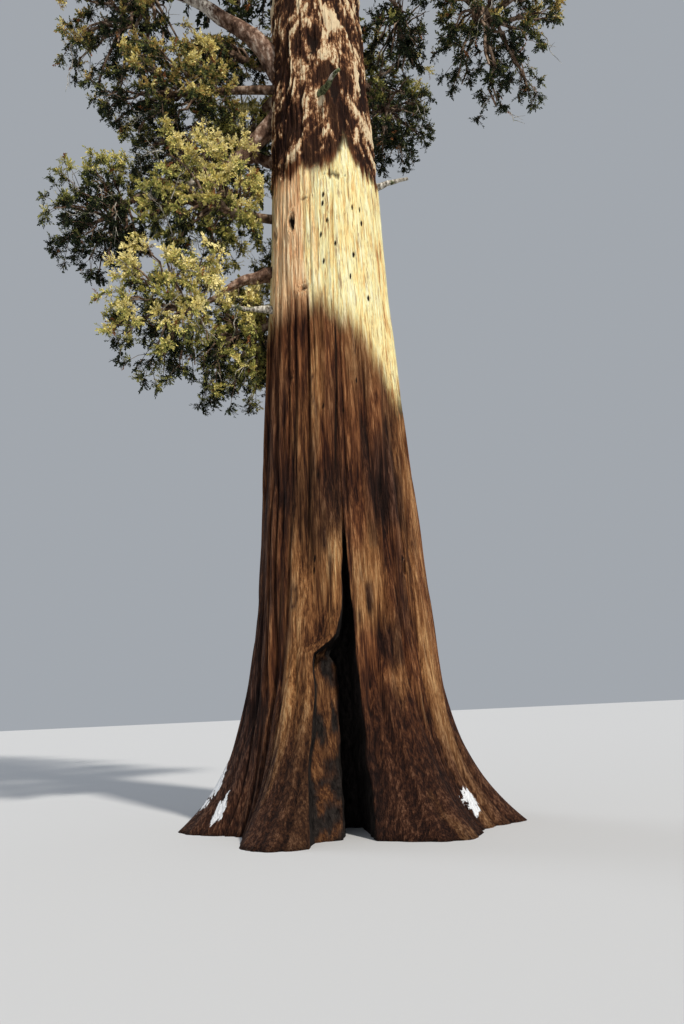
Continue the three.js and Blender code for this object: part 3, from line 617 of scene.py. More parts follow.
def trunk_piece(material):
    rows = trunk_rows()
    left_x, right_x = scar_edges(rows)
    bearing = bark_bearings(bearing_at(right_x, rows), bearing_at(left_x, rows) + 360)
    height = np.repeat(rows[:, None], bearing.shape[1], 1)
    relief = bark_relief(bearing, height)
    # Paler bark, partly painted sunlight, in patches
    pale = patched(PALE_AND_SUNLIT_PATCHES, bearing, height)
    # Painted shade at the foot, less under the sunlit patches
    foot = PAINTED_SHADE_FOOT.amount * (1 - smooth(PAINTED_SHADE_FOOT.full, PAINTED_SHADE_FOOT.gone, height))
    dusky = np.maximum(patched(PAINTED_SHADE_PATCHES, bearing, height), foot * (1 - PAINTED_SHADE_FOOT.under_pale * pale))
    snow = snow_at(bearing, height)
    body = body_radius(height)
    by_scar = 1 - smooth(*LIP.ends, height)
    left_lip = bell(np.radians(bearing[:, -1:] - bearing) * body, LIP.left) * by_scar
    right_lip = bell(np.radians(bearing - bearing[:, :1]) * body, LIP.right) * by_scar
    lip = left_lip + right_lip
    stand = relief["stand"] * (1 - LIP.smoother * np.clip(lip, 0, 1))
    stand = stand + LIP.left_out * left_lip + LIP.right_out * right_lip
    stand = lerp(stand, SNOW.thickness + SNOW.bumps * stand, smooth(*SNOW.edge, snow))
    stand = stand * (1 - smooth(TRUNK_TIP - PLAIN_TIP, TRUNK_TIP, height))
    outside = polar(bearing, np.maximum(trunk_radius(bearing, height) + stand, LEAST_RADIUS), height)

    line = scar_line(rows, outside[:, -1, :2], outside[:, 0, :2])
    tall = np.repeat(rows[:, None], line.shape[1], 1)
    depth = np.clip(line[..., 1] - outside[:, -1:, 1], 0, 1)
    place = np.concatenate([line * LUMPS.across, tall[..., None] * LUMPS.up], -1)
    loose = np.clip(depth * LUMPS.onset, 0, 1) * (tall < SCAR.apex)
    line[..., 0] += LUMPS.wide * (noise(place, 51) + LUMPS.share * noise(place * LUMPS.finer, 52)) * loose
    line[..., 1] += LUMPS.deep * noise(place * LUMPS.other, 53) * loose
    inside = np.concatenate([line, tall[..., None]], -1)[:, 1:]
    tall, depth = tall[:, 1:], depth[:, 1:]
    points = np.concatenate([outside, inside], 1)
    columns = points.shape[1]
    column = np.arange(inside.shape[1])[None] + 0 * tall
    ledge_start = SCAR_RUNS["wall"]
    ledge_end = ledge_start + SCAR_RUNS["ledge"]
    bare_wood = smooth(ledge_start - BARE_WOOD.fade, ledge_start, column)
    bare_wood = bare_wood * (1 - smooth(ledge_end - BARE_WOOD.fade, ledge_end + BARE_WOOD.past, column))
    patches = smooth(*BARE_WOOD.edge, noise(place[:, 1:] * BARE_WOOD.patches, 54))
    bare_wood = bare_wood * (tall < LEDGE.bare_to) * patches
    burnt = np.clip(depth * CHARRED.onset, 0, 1) * (1 - BARE_WOOD.clean * bare_wood)
    crack = CHARRED.crack * (1 - smooth(CHARRED.full, CHARRED.gone, tall))
    above = tall > SCAR.apex
    furrow = np.where(above, INNER.above, INNER.furrow + INNER.wood * bare_wood)

    def whole(outer, inner):
        return np.concatenate([outer, np.broadcast_to(inner, tall.shape)], 1).ravel()

    attributes = {
        "furrow": whole(relief["furrow"], furrow),
        # The golden band, partly painted sunlight, on the crack above the apex
        "golden": whole(relief["golden"], golden_sunlit_band(tall * 0 + INNER.bearing, tall) * above),
        # Paler: the patches, partly painted sunlight, the left lip and the bare wood in the scar
        "pale": whole(np.clip(pale + LIP.pale * left_lip, 0, 1), BARE_WOOD.pale * bare_wood),
        "dusky": whole(dusky, 0.0),
        "dark": whole(relief["dark"], 0.0),
        "shag": whole(relief["shag"], smooth(*INNER.shag, tall)),
        "blush": whole(relief["blush"], 0.0),
        "flake": whole(relief["flake"], INNER.flake),
        "snow": whole(snow, 0.0),
        "char": whole(CHARRED.lip * lip, np.where(above, crack, burnt)),
    }
    ring = np.arange(columns)[None]
    blocks = [wrapped(len(rows), columns), ring[:, ::-1], ring + (len(rows) - 1) * columns]
    points = points.reshape(-1, 3)
    piece = make_piece("bark_trunk", points, blocks, [material], attributes=attributes, shade_smooth=True)
    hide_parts("trunk")


# Limbs


def limb_path(limb, shares):
    start = trunk_radius(limb.bearing, limb.height) - ROOTED
    up = limb.rise * shares + limb.arch * np.sin(np.pi * shares)
    bearing = limb.bearing + limb.swing * shares
    return polar(bearing, lerp(start, limb.out, shares), limb.height + up)


# The collar where a limb leaves the trunk, and the meshes of boughs and stubs
COLLAR = Values(swelling=0.55, length=0.75)
BOUGH = Values(seed=3.7, sides=26, rings=44)
STUB = Values(seed=91.3, sides=14, rings=22)
# How a limb wanders off its path, by a share of its radius, and the ridges and knobs in its bark
WANDER = Values(share=0.5, up=5, side=4, row=7)
RIDGES = Values(round=2.2, along=1.1, deep=0.12, finer=2.1, fine=0.07)
KNOBS = Values(scale=[0.45, 0.45, 1.2], out=0.16, least=0.25)


def bark_limb(limb, seed, sides, rings, heap):
    """A limb with ridged bark and a collar where it leaves the trunk."""
    shares = np.linspace(0, 1, rings)
    flat = shares * 0
    wave = noise(np.stack([shares * WANDER.up, flat + seed, flat], -1), 61)[:, None]
    sway = noise(np.stack([shares * WANDER.side, flat + seed, flat + WANDER.row], -1), 62)[:, None]
    free = WANDER.share * limb.radius * np.sin(np.pi * shares)[:, None]
    path = limb_path(limb, shares) + free * (wave * UP + sway * polar(limb.bearing + 90, 1, 0))
    length = np.linalg.norm(path[-1] - path[0])
    collar = 1 + COLLAR.swelling * bell(shares * length, COLLAR.length)
    radii = limb.radius * lerp(1, BOUGH_TIP, shares) * collar
    points, faces = tubes(path[None], radii[None], sides)
    turn = np.tile(np.arange(sides), rings) * 2 * np.pi / sides
    along = np.repeat(shares * length, sides) * RIDGES.along + seed
    place = np.stack([np.cos(turn) * RIDGES.round, np.sin(turn) * RIDGES.round, along], -1)
    ridged = RIDGES.deep * (1 - 2 * np.abs(noise(place, 63))) + RIDGES.fine * noise(place * RIDGES.finer, 64)
    knobs = KNOBS.out * np.maximum(0, noise(place * KNOBS.scale, 65) - KNOBS.least)
    centre = np.repeat(path, sides, 0)
    heap.add(centre + (points - centre) * (1 + ridged + knobs)[:, None], faces)
    heap.add_faces(np.arange(sides)[None] + (rings - 1) * sides)


# Where the masses are

MASS_KEYS = ("name", "seed", "foot", "along", "centre", "bearing", "size", "stem_radius", "look", "fine")
SEEDS = Values(limb=101, trunk=501, leader=601, bare=1000)


def quadratic(start, bend, end, shares):
    s = shares[..., None]
    return (1 - s) ** 2 * start + 2 * s * (1 - s) * bend + s**2 * end


def mass_of(*row):
    """A mass of foliage. axes are outwards, sideways and up."""
    mass = named(MASS_KEYS, row)
    mass.size = np.array(mass.size, float)
    mass.mean = float(mass.size.mean())
    mass.axes = np.stack([polar(mass.bearing, 1, 0), polar(mass.bearing + 90, 1, 0), UP])
    return mass


def limb_mass(limb, seed, fine):
    before, tip = limb_path(limb, np.array([0.98, 1.0]))
    outwards, sideways, up = limb.beyond
    centre = polar(limb.bearing, outwards, up) + sideways * polar(limb.bearing + 90, 1, 0) + tip
    thickness = limb.radius * BOUGH_TIP
    along = unit(tip - before)
    return mass_of(limb.name, seed, tip, along, centre, limb.bearing, limb.size, thickness, limb.look, fine)


def trunk_mass(entry, seed, fine):
    name, start, (bearing, distance, height), size, look = entry
    foot = polar(bearing, max(float(trunk_radius(bearing, start)) - ROOTED, 0), start)
    centre = polar(bearing, distance, height)
    thickness = STEM.least + STEM.thickness * size[0]
    return mass_of(name, seed, foot, polar(bearing, 1, 0), centre, bearing, size, thickness, look, fine)


def dome_radius(height):
    up = max(0, (height - DOME.widest) / (TREE_HEIGHT - DOME.widest))
    return DOME.radius * math.sqrt(1 - up * up)


def upper_crown():
    """The upper crown: one mass in a few is carried on a bough, the rest on a stem of their own."""
    limbs, masses = [], []
    for i in range(UPPER.count):
        share = (i / (UPPER.count - 1)) ** UPPER.crowding
        height = lerp(UPPER.first, UPPER.last, share)
        bearing = UPPER.bearing + i * GOLDEN_ANGLE
        across = lerp(UPPER_SIZE.low, UPPER_SIZE.high, share)
        size = (across, across, across * UPPER_SIZE.height)
        distance = max(dome_radius(height) - across * MASS_INSET, NEAREST)
        start = min(height - distance * UPPER_BOUGH.drop, UPPER_BOUGH.highest)
        name = f"upper_{i + 1:02d}"
        look = "olive" if i % 3 else "gold"
        if i % UPPER_BOUGH.every == 0 and i < UPPER_BOUGH.below:
            out = distance * UPPER_BOUGH.share + UPPER_BOUGH.extra
            rise = (height - start) * UPPER_BOUGH.share
            radius = float(body_radius(start)) * UPPER_BOUGH.thickness
            beyond = (distance - out, 0, height - start - rise)
            limbs.append((name, bearing, start, out, rise, UPPER_BOUGH.arch, radius, beyond, size, look))
        else:
            masses.append((name, start, (bearing, distance, height), size, look))
    return limbs, masses


upper_limbs, upper_masses = upper_crown()
limbs = [named(LIMB_KEYS, row) for row in SEEN_LIMBS + upper_limbs]
masses = [limb_mass(limb, SEEDS.limb + i, i < len(SEEN_LIMBS)) for i, limb in enumerate(limbs)]
for i, entry in enumerate(SEEN_MASSES + upper_masses):
    masses.append(trunk_mass(entry, SEEDS.trunk + i, i < len(SEEN_MASSES)))
foot, centre = np.array([0, 0, TRUNK_TIP]), np.array([0, 0, LEADER.centre])
leader = mass_of("leader", SEEDS.leader, foot, UP, centre, 0, LEADER.size, LEADER.stem, "gold", False)
masses.append(leader)
CENTRES = np.array([mass.centre for mass in masses])
MEANS = np.array([mass.mean for mass in masses])


def is_open(mass, points, inset=0.0):
    """Whether each point is in the mass's space: inside its walls, clear of the trunk and below the top."""
    own = next(i for i, other in enumerate(masses) if other is mass)
    squares = ((points[..., None, :] - CENTRES) ** 2).sum(-1) - MEANS**2
    apart = length_of(CENTRES - CENTRES[own])
    walls = squares - squares[..., own : own + 1] >= 2 * (SPACE_GAP + np.asarray(inset)[..., None]) * apart
    walls[..., own] = True
    height = points[..., 2]
    if mass is leader:
        clear = height > TRUNK_TIP + SPACE_GAP
    else:
        radius = trunk_radius(mass.bearing, np.clip(height, 0, TRUNK_TIP))
        clear = points @ mass.axes[0] > np.where(height < TRUNK_TIP, radius, 0) * BARK_SHARE + SPACE_GAP
    return walls.all(-1) & clear & (height < TREE_HEIGHT)


def within(mass, directions, shares):
    return mass.centre + (directions * mass.size * shares[..., None]) @ mass.axes


def reach_of(mass, points):
    return length_of((points - mass.centre) @ mass.axes.T / mass.size)


DRAWN = Values(times=14, by=0.86, inside=0.04)


def drawn_in(mass, roots, ends):
    """The ends, each brought back towards its root until it is in the mass's space."""
    ends = ends.copy()
    for _ in range(DRAWN.times):
        out = ~is_open(mass, ends) | (reach_of(mass, ends) > REACH - DRAWN.inside)
        if not out.any():
            break
        ends[out] = lerp(roots[out], ends[out], DRAWN.by)
    return ends


# Growth: limbs, twigs and sprays, each carried by the one before, and the cords of leaves on every spray.
# limbs, twigs, sprays and cords are how many of each one of the order before carries.
# twig, spray and cord are the length of each. tuft is the share of a twig where its sprays start.
FINE = Values(limbs=28, twigs=9, sprays=13, cords=9, twig=0.95, spray=0.27, cord=0.105, tuft=0.72)
COARSE = Values(limbs=22, twigs=8, sprays=5, cords=9, twig=1.9, spray=0.48, cord=0.23, tuft=0.6)
# How many of the twigs of the fullest plan some masses have
OPEN_MASSES = {"right_back": 0.5, "right_hanging": 0.5, "right_weeping": 0.8, "left_far": 0.85}
# Limbs leave the stem at the share leave, moved by ahead where they point outwards. In limbs, twigs and bare
# twigs, rise and wave are shares of the length.
LIMB = Values(
    turned=40, leave=0.75, ahead=0.25, first=0.45, rise=0.16, wave=0.05, rings=7, sides=5, tip=0.35,
    stem_share=0.6, taper=0.024, least=0.02,
)
TWIG = Values(
    first=0.3, forward=0.7, chance=0.9, out=0.5, droop=0.15, short=0.5, longer=0.8, rise=0.2, radius=0.016,
    tip=0.5, rings=3, sides=3,
)
SPRAY = Values(forward=0.3, droop=0.2, out=0.25, short=0.65, longer=0.7, width=0.06)
BARE = Values(
    twigs=16, length=1.4, radius=0.024, start=0.6, spread=0.25, reach=1.05, chance=0.8, short=0.5, longer=0.6,
    rise=0.2, wave=0.06, rings=6, sides=5, tip=0.3,
)
FORK = Values(count=3, first=0.3, chance=0.9, share=0.4, rise=0.05, taper=(0.5, 0.35, 0.15), sides=4)
CORD = Values(
    width=0.55, widest=0.45, fold=0.12, faces=2, jitter=0.8, tilt=(1.1, 0.35), short=0.8, longer=0.4, flat=0.1
)
# How likely a leaf is to be one colour brighter than its spray, and the colour from which none is
BRIGHTER = Values(foot=0.15, along=0.35, below=5)
# Which way the leaves face: away from their own spray, and away from the middle of their tuft
OUTWARDS = Values(own=0.45, tuft=1.0)
WALL_RAGGED = 0.8  # the most by which the twigs stay inside the walls of their space
BOX_MARGIN = 0.2  # in metres of the model
# The direction of the sunlight painted into the sprays' colours
SUN = unit(np.array([0.45, -0.55, 0.7]))
# What makes a spray brighter: facing the sun (painted sunlight), its clump, being further out (painted shade
# further in), its tuft, leaning to the sun (painted sunlight), and not being on the underside (painted shade)
BRIGHT = Values(
    middle=0.5, facing=0.3, clump=0.36, clumps=0.9, further=0.55, than=0.85, tuft=0.11, lit=0.26,
    under=0.16, lowest=-0.9, chance=0.05,
)
# The shares of the spray colours in each look, from the deepest to the palest, and rust. The dark and shaded
# looks are painted shade; the light look is partly painted sunlight.
LOOKS = {
    "gold": [0.12, 0.14, 0.2, 0.22, 0.24, 0.08], "light": [0.05, 0.09, 0.17, 0.34, 0.26, 0.09],
    "bronze": [0.26, 0.22, 0.18, 0.22, 0.1, 0.02], "olive": [0.2, 0.26, 0.26, 0.17, 0.09, 0.02],
    "dark": [0.44, 0.34, 0.15, 0.05, 0.01, 0.01], "shaded": [0.34, 0.26, 0.18, 0.14, 0.06, 0.02],
}
RUST = Values(kind=6, chance=0.015)
BRONZE = Values(kind=7, instead=3, looks=("bronze", "shaded"))
# The highest score that a spray has in the darker looks, so that none is gold in their painted shade
BRIGHTEST = {"dark": 0.95, "shaded": 0.97}


def ball(count, rng, turned):
    """Directions spread over a ball by the golden angle, each turned a little by chance."""
    i = np.arange(count)
    up = 1 - (2 * i + 1) / count
    return polar(i * GOLDEN_ANGLE + turned * rng.random(count), np.sqrt(1 - up * up), up)


def chance_directions(rng, *shape):
    return unit(rng.normal(size=(*shape, 3)))


def arched(starts, ends, rise, rings):
    """Paths from the starts to the ends, bent upwards."""
    bends = lerp(starts, ends, 0.5) + UP * rise
    shares = np.broadcast_to(np.linspace(0, 1, rings), (len(ends), rings))
    return quadratic(starts[:, None], bends[:, None], ends[:, None], shares)


def waver(paths, rng, share):
    """Moves the points between the ends of each path by chance, by a share of its length."""
    reach = length_of(paths[:, -1] - paths[:, 0])[:, None, None]
    paths[:, 1:-1] += (chance_directions(rng, *paths.shape[:2]) * share * reach)[:, 1:-1]


def point_on(paths, shares):
    """The points a share of the way along each path. shares is (paths, points)."""
    last = paths.shape[1] - 1
    at = np.clip(shares * last, 0, last - 1e-6)
    low = at.astype(int)
    row = np.arange(len(paths))[:, None]
    return lerp(paths[row, low], paths[row, low + 1], (at - low)[..., None])


def carried(paths, rng, each, first):
    """Where each of the paths carries so many of the next order, from the share first to its tip."""
    shares = (np.arange(each) + rng.random((len(paths), each))) / each
    return point_on(paths, lerp(first, 1.0, shares)).reshape(-1, 3)


def headings(paths, each, since=0):
    """The direction of each path's end, for each of those that it carries."""
    return np.repeat(unit(paths[:, -1] - paths[:, since]), each, 0)


def in_box(points):
    """Whether the points are in the box of the solids, or near enough."""
    low, high = np.array(CAD_BOX[0]) - BOX_MARGIN, np.array(CAD_BOX[1]) + BOX_MARGIN
    return ((points * K > low) & (points * K < high)).all(-1)


def fits_in(mass, points):
    return is_open(mass, points) & (reach_of(mass, points) < REACH) & in_box(points)


def limbs_of(mass, plan, rng, twigs):
    """The mass's stem, and the limbs that spread from it to all sides."""
    bend = mass.foot + mass.along * STEM.bend * np.linalg.norm(mass.centre - mass.foot)
    shares = np.linspace(0, 1, STEM.rings)
    stem = quadratic(mass.foot, bend, mass.centre, shares)[None]
    twigs.add(*tubes(stem, (mass.stem_radius * (1 - STEM.taper * shares))[None], STEM.sides))
    directions = ball(plan.limbs, rng, LIMB.turned)
    ends = within(mass, directions, TWIG_REACH.least + TWIG_REACH.spread * rng.random(len(directions)))
    ends = drawn_in(mass, np.broadcast_to(mass.centre, ends.shape), ends)
    leave = np.clip(LIMB.leave + LIMB.ahead * directions[:, 0], LIMB.first, 1)
    starts = point_on(stem, leave[None])[0]
    reach = length_of(ends - starts)
    paths = arched(starts, ends, LIMB.rise * reach[:, None], LIMB.rings)
    waver(paths, rng, LIMB.wave)
    base = np.minimum(mass.stem_radius * LIMB.stem_share, LIMB.taper * reach + LIMB.least)
    twigs.add(*tubes(paths, base[:, None] * np.linspace(1, LIMB.tip, LIMB.rings), LIMB.sides))
    return paths


def twigs_on(mass, plan, rng, limb_paths, twigs):
    """Twigs that lean out of the mass, fewer near its walls, so that it has no flat side."""
    starts = carried(limb_paths, rng, plan.twigs, TWIG.first)
    forward = headings(limb_paths, plan.twigs, since=2)
    lean = TWIG.forward * forward + TWIG.chance * chance_directions(rng, len(starts))
    lean = lean + TWIG.out * (starts - mass.centre) / mass.mean
    length = plan.twig * (TWIG.short + TWIG.longer * rng.random(len(starts)))[:, None]
    ends = drawn_in(mass, starts, starts + unit(lean - TWIG.droop * UP) * length)
    kept = rng.random(len(ends)) < OPEN_MASSES.get(mass.name, 1)
    kept &= is_open(mass, ends, WALL_RAGGED * rng.random(len(ends)) ** 2)
    starts, ends, length = only(kept, starts, ends, length)
    paths = arched(starts, ends, TWIG.rise * length, TWIG.rings)
    base = np.full((len(starts), 1), TWIG.radius * plan.twig)
    twigs.add(*tubes(paths, base * np.linspace(1, TWIG.tip, TWIG.rings), TWIG.sides))
    return paths


def grow(mass, twigs, sprays):
    """One mass: its stem, its limbs, twigs and sprays, all in its own space."""
    plan = FINE if mass.fine else COARSE
    rng = np.random.default_rng(mass.seed)
    paths = twigs_on(mass, plan, rng, limbs_of(mass, plan, rng, twigs), twigs)
    roots = carried(paths, rng, plan.sprays, plan.tuft)
    hubs = np.repeat(point_on(paths, np.full((len(paths), 1), plan.tuft))[:, 0], plan.sprays, 0)
    lean = SPRAY.forward * headings(paths, plan.sprays) + chance_directions(rng, len(roots))
    lean = unit(lean - SPRAY.droop * UP + SPRAY.out * (roots - mass.centre) / mass.mean)
    length = plan.spray * (SPRAY.short + SPRAY.longer * rng.random(len(roots)))
    tips = roots + lean * length[:, None]
    tuft = np.repeat(rng.normal(size=len(paths)), plan.sprays)
    fits = fits_in(mass, tips)
    roots, hubs, tips, lean, length, tuft = only(fits, roots, hubs, tips, lean, length, tuft)
    twigs.add(*cones(roots, tips, np.full(len(roots), SPRAY.width * plan.spray)))

    # Painted sunlight where the spray faces and leans to the sun, painted shade further in and on the
    # underside
    score = BRIGHT.middle + BRIGHT.facing * ((tips - mass.centre) / mass.mean @ SUN)
    score = score + BRIGHT.clump * noise(tips * BRIGHT.clumps, mass.seed)
    score = score + BRIGHT.further * (reach_of(mass, tips) - BRIGHT.than) + BRIGHT.tuft * tuft
    under = smooth(0.0, BRIGHT.lowest, (tips[:, 2] - mass.centre[2]) / mass.size[2])
    score = score + BRIGHT.lit * (lean @ SUN) - BRIGHT.under * under
    score = score + BRIGHT.chance * rng.normal(size=len(tips))
    score = np.clip(score, 0, BRIGHTEST.get(mass.look, 0.9999))
    kinds = np.searchsorted(np.cumsum(LOOKS[mass.look])[:-1], score)
    kinds[rng.random(len(kinds)) < RUST.chance] = RUST.kind
    add_cords(mass, plan, rng, (roots, hubs, lean, length, kinds), sprays)


def add_cords(mass, plan, rng, spray, sprays):
    """The leaves along each spray, close to it and pointing forwards, so that it looks like a blunt cord."""
    roots, hubs, lean, length, kinds = spray
    count = plan.cords
    shares = (np.arange(count) + CORD.jitter * rng.random((len(roots), count))) / count
    start = roots[:, None] + lean[:, None] * (length[:, None] * shares)[..., None]
    side = np.cross(lean, UP)
    side = unit(np.where(length_of(side)[:, None] < CORD.flat, [1.0, 0, 0], side))
    other = np.cross(lean, side)
    turn = np.radians(GOLDEN_ANGLE) * np.arange(count) + 2 * np.pi * rng.random((len(roots), 1))
    out = side[:, None] * np.cos(turn)[..., None] + other[:, None] * np.sin(turn)[..., None]
    point = unit(lean[:, None] + lerp(*CORD.tilt, shares)[..., None] * out)
    long = plan.cord * (CORD.short + CORD.longer * rng.random(shares.shape))
    tips = start + point * long[..., None]
    brighter = rng.random(shares.shape) < BRIGHTER.foot + BRIGHTER.along * shares
    kinds = np.repeat(kinds[:, None], count, 1) + (brighter & (kinds[:, None] < BRIGHTER.below))
    if mass.look in BRONZE.looks:
        kinds[kinds == BRONZE.instead] = BRONZE.kind
    out = unit(OUTWARDS.own * out + OUTWARDS.tuft * unit(tips - hubs[:, None]))
    start, point, out, long, kinds = only(fits_in(mass, tips), start, point, out, long, kinds)
    sprays.add(*leaves(start, point, out, long), np.repeat(kinds, CORD.faces))


def leaves(start, point, out, long):
    """Pointed leaves of two faces, folded a little along the middle."""
    across = unit(np.cross(point, out))
    normal = np.cross(across, point)
    middle = start + point * (long * CORD.widest)[:, None] + normal * (long * CORD.fold)[:, None]
    half = across * (long * CORD.width / 2)[:, None]
    points = np.stack([start, middle - half, start + point * long[:, None], middle + half], 1).reshape(-1, 3)
    faces = np.array([[0, 2, 1], [0, 3, 2]])[None] + 4 * np.arange(len(start))[:, None, None]
    return points, faces.reshape(-1, 3)


def bare_twigs(mass, heap):
    """Bleached twigs that stand clear of the leaves, each with a few forks."""
    rng = np.random.default_rng(mass.seed + SEEDS.bare)
    directions = chance_directions(rng, BARE.twigs)
    starts = within(mass, directions, BARE.start + BARE.spread * rng.random(BARE.twigs))
    ends = unit(directions + BARE.chance * chance_directions(rng, BARE.twigs))
    heading = unit(within(mass, ends, np.full(BARE.twigs, BARE.reach)) - starts)
    ends = starts + heading * BARE.length * (BARE.short + BARE.longer * rng.random(BARE.twigs))[:, None]
    starts, ends = only(fits_in(mass, ends) & is_open(mass, starts), starts, ends)
    if not len(starts):
        return
    paths = arched(starts, ends, BARE.rise * length_of(ends - starts)[:, None], BARE.rings)
    waver(paths, rng, BARE.wave)
    even = np.ones((len(paths), 1))
    heap.add(*tubes(paths, BARE.radius * np.linspace(1, BARE.tip, BARE.rings) * even, BARE.sides))
    roots = carried(paths, rng, FORK.count, FORK.first)
    lean = headings(paths, FORK.count) + FORK.chance * chance_directions(rng, len(roots))
    tips = roots + unit(lean) * FORK.share * BARE.length
    roots, tips = only(fits_in(mass, tips), roots, tips)
    forks = arched(roots, tips, FORK.rise, len(FORK.taper))
    heap.add(*tubes(forks, BARE.radius * np.array(FORK.taper) * np.ones((len(forks), 1)), FORK.sides))


# Materials

GLOSS = 0.12  # fibrous bark, dead wood and scale leaves have little


class Shader:
    """A node material built line by line. A value is a socket, a number or the name of a mesh attribute."""

    def __init__(self, name, roughness):
        self.material = bpy.data.materials.new(name)
        self.material.use_nodes = True
        self.nodes, self.links = self.material.node_tree.nodes, self.material.node_tree.links
        self.main = self.nodes["Principled BSDF"]
        self.main.inputs["Roughness"].default_value = roughness
        self.main.inputs["Specular IOR Level"].default_value = GLOSS

    def node(self, kind, inputs=(), **settings):
        made = self.nodes.new("ShaderNode" + kind)
        for key, value in settings.items():
            setattr(made, key, value)
        for key, value in dict(inputs).items():
            if isinstance(value, str):
                value = self.node("Attribute", attribute_name=value).outputs["Fac"]
            if isinstance(value, bpy.types.NodeSocket):
                self.links.new(value, made.inputs[key])
            else:
                made.inputs[key].default_value = value
        return made

    def place(self, scale):
        """The piece's own coordinates, scaled along each axis."""
        own = self.node("TexCoord").outputs["Object"]
        return self.node("Mapping", {"Vector": own, "Scale": scale}).outputs[0]

    def streaks(self, scale, stretch, detail, roughness=0.6):
        """Noise drawn out along the trunk."""
        spans = {"Vector": self.place((1, 1, 1 / stretch)), "Scale": scale, "Detail": detail}
        return self.node("TexNoise", {**spans, "Roughness": roughness}).outputs["Fac"]

    def stretch(self, value, low, high):
        """The value, drawn out so that low to high becomes 0 to 1."""
        spans = {"Value": value, "From Min": low, "From Max": high}
        return self.node("MapRange", spans, clamp=True).outputs[0]

    def grain(self, scale, stretch, detail, low, high, roughness=0.6):
        return self.stretch(self.streaks(scale, stretch, detail, roughness), low, high)

    def blend(self, *parts):
        """The sum of the values, each by its weight."""
        total = None
        for value, weight in parts:
            part = self.math("MULTIPLY", value, weight)
            total = part if total is None else self.math("ADD", total, part)
        return total

    def ramp(self, value, stops):
        made = self.node("ValToRGB", {"Fac": value})
        ends = made.color_ramp.elements
        while len(ends) < len(stops):
            ends.new(0.5)
        for element, (place, *colour) in zip(ends, stops):
            element.position = place
            element.color = (*colour, 1)
        return made.outputs["Color"]

    def math(self, operation, a, b):
        return self.node("Math", {0: a, 1: b}, operation=operation).outputs[0]

    def mix(self, share, a, b):
        a, b = [(*one, 1) if isinstance(one, tuple) else one for one in (a, b)]
        return self.node("Mix", {0: share, 6: a, 7: b}, data_type="RGBA", clamp_factor=True).outputs[2]

    def bump(self, height, strength, distance):
        made = self.node("Bump", {"Height": height, "Strength": strength, "Distance": distance})
        self.links.new(made.outputs[0], self.main.inputs["Normal"])

    def finish(self, colour):
        self.links.new(colour, self.main.inputs["Base Color"])
        return self.material


# The stops of the colour ramps: place, red, green, blue
RED = [
    (0.12, 0.01, 0.004, 0.003), (0.34, 0.04, 0.013, 0.007), (0.56, 0.112, 0.04, 0.016),
    (0.76, 0.225, 0.092, 0.037), (0.95, 0.4, 0.205, 0.09),
]
# The golden band's colours, paler than the bark as painted sunlight
SUNLIT_GOLD = [
    (0.14, 0.2, 0.07, 0.026), (0.34, 0.6, 0.31, 0.12), (0.5, 0.92, 0.69, 0.3),
    (0.66, 0.97, 0.88, 0.46), (0.9, 0.97, 0.94, 0.64),
]
SUNLIT_PINK = [
    (0.14, 0.17, 0.06, 0.028), (0.34, 0.52, 0.23, 0.105), (0.52, 0.82, 0.46, 0.23),
    (0.72, 0.94, 0.65, 0.37), (0.94, 0.96, 0.8, 0.53),
]
TAN = [
    (0.14, 0.06, 0.022, 0.009), (0.36, 0.21, 0.086, 0.03), (0.58, 0.42, 0.205, 0.078),
    (0.8, 0.6, 0.37, 0.17),
]
# Painted shade on the bark
PAINTED_SHADE_BROWN = [
    (0.14, 0.004, 0.002, 0.002), (0.4, 0.013, 0.006, 0.005), (0.62, 0.03, 0.012, 0.008),
    (0.86, 0.1, 0.048, 0.032),
]
# The shaggy bark, from black gaps to cream plates, partly painted shadow and sunlight
SHAGGY_SUN_AND_SHADE = [
    (0.38, 0.012, 0.005, 0.004), (0.51, 0.05, 0.02, 0.011), (0.59, 0.2, 0.088, 0.04),
    (0.67, 0.58, 0.33, 0.17), (0.75, 0.96, 0.78, 0.51),
]
SOOT = [(0.35, 0.004, 0.003, 0.003), (0.7, 0.035, 0.028, 0.025)]
GREY_BROWN = [
    (0.1, 0.04, 0.022, 0.016), (0.4, 0.14, 0.08, 0.055), (0.65, 0.29, 0.19, 0.14),
    (0.9, 0.54, 0.43, 0.35),
]
BLEACHED = [(0.1, 0.3, 0.24, 0.195), (0.8, 0.86, 0.79, 0.7)]
DEAD = [(0.05, 0.08, 0.068, 0.054), (0.45, 0.34, 0.31, 0.26), (0.9, 0.72, 0.69, 0.62)]
LICHEN = [(0.1, 0.02, 0.024, 0.012), (0.9, 0.17, 0.19, 0.09)]
TWIG_BROWN = [(0.1, 0.04, 0.025, 0.017), (0.5, 0.13, 0.08, 0.052), (0.9, 0.32, 0.24, 0.18)]
CRACK_BROWN = (0.3, 0.115, 0.045)
KNOT_AND_SHADE_DARK = (0.014, 0.007, 0.005)
SNOW_WHITE = (0.86, 0.89, 0.94)


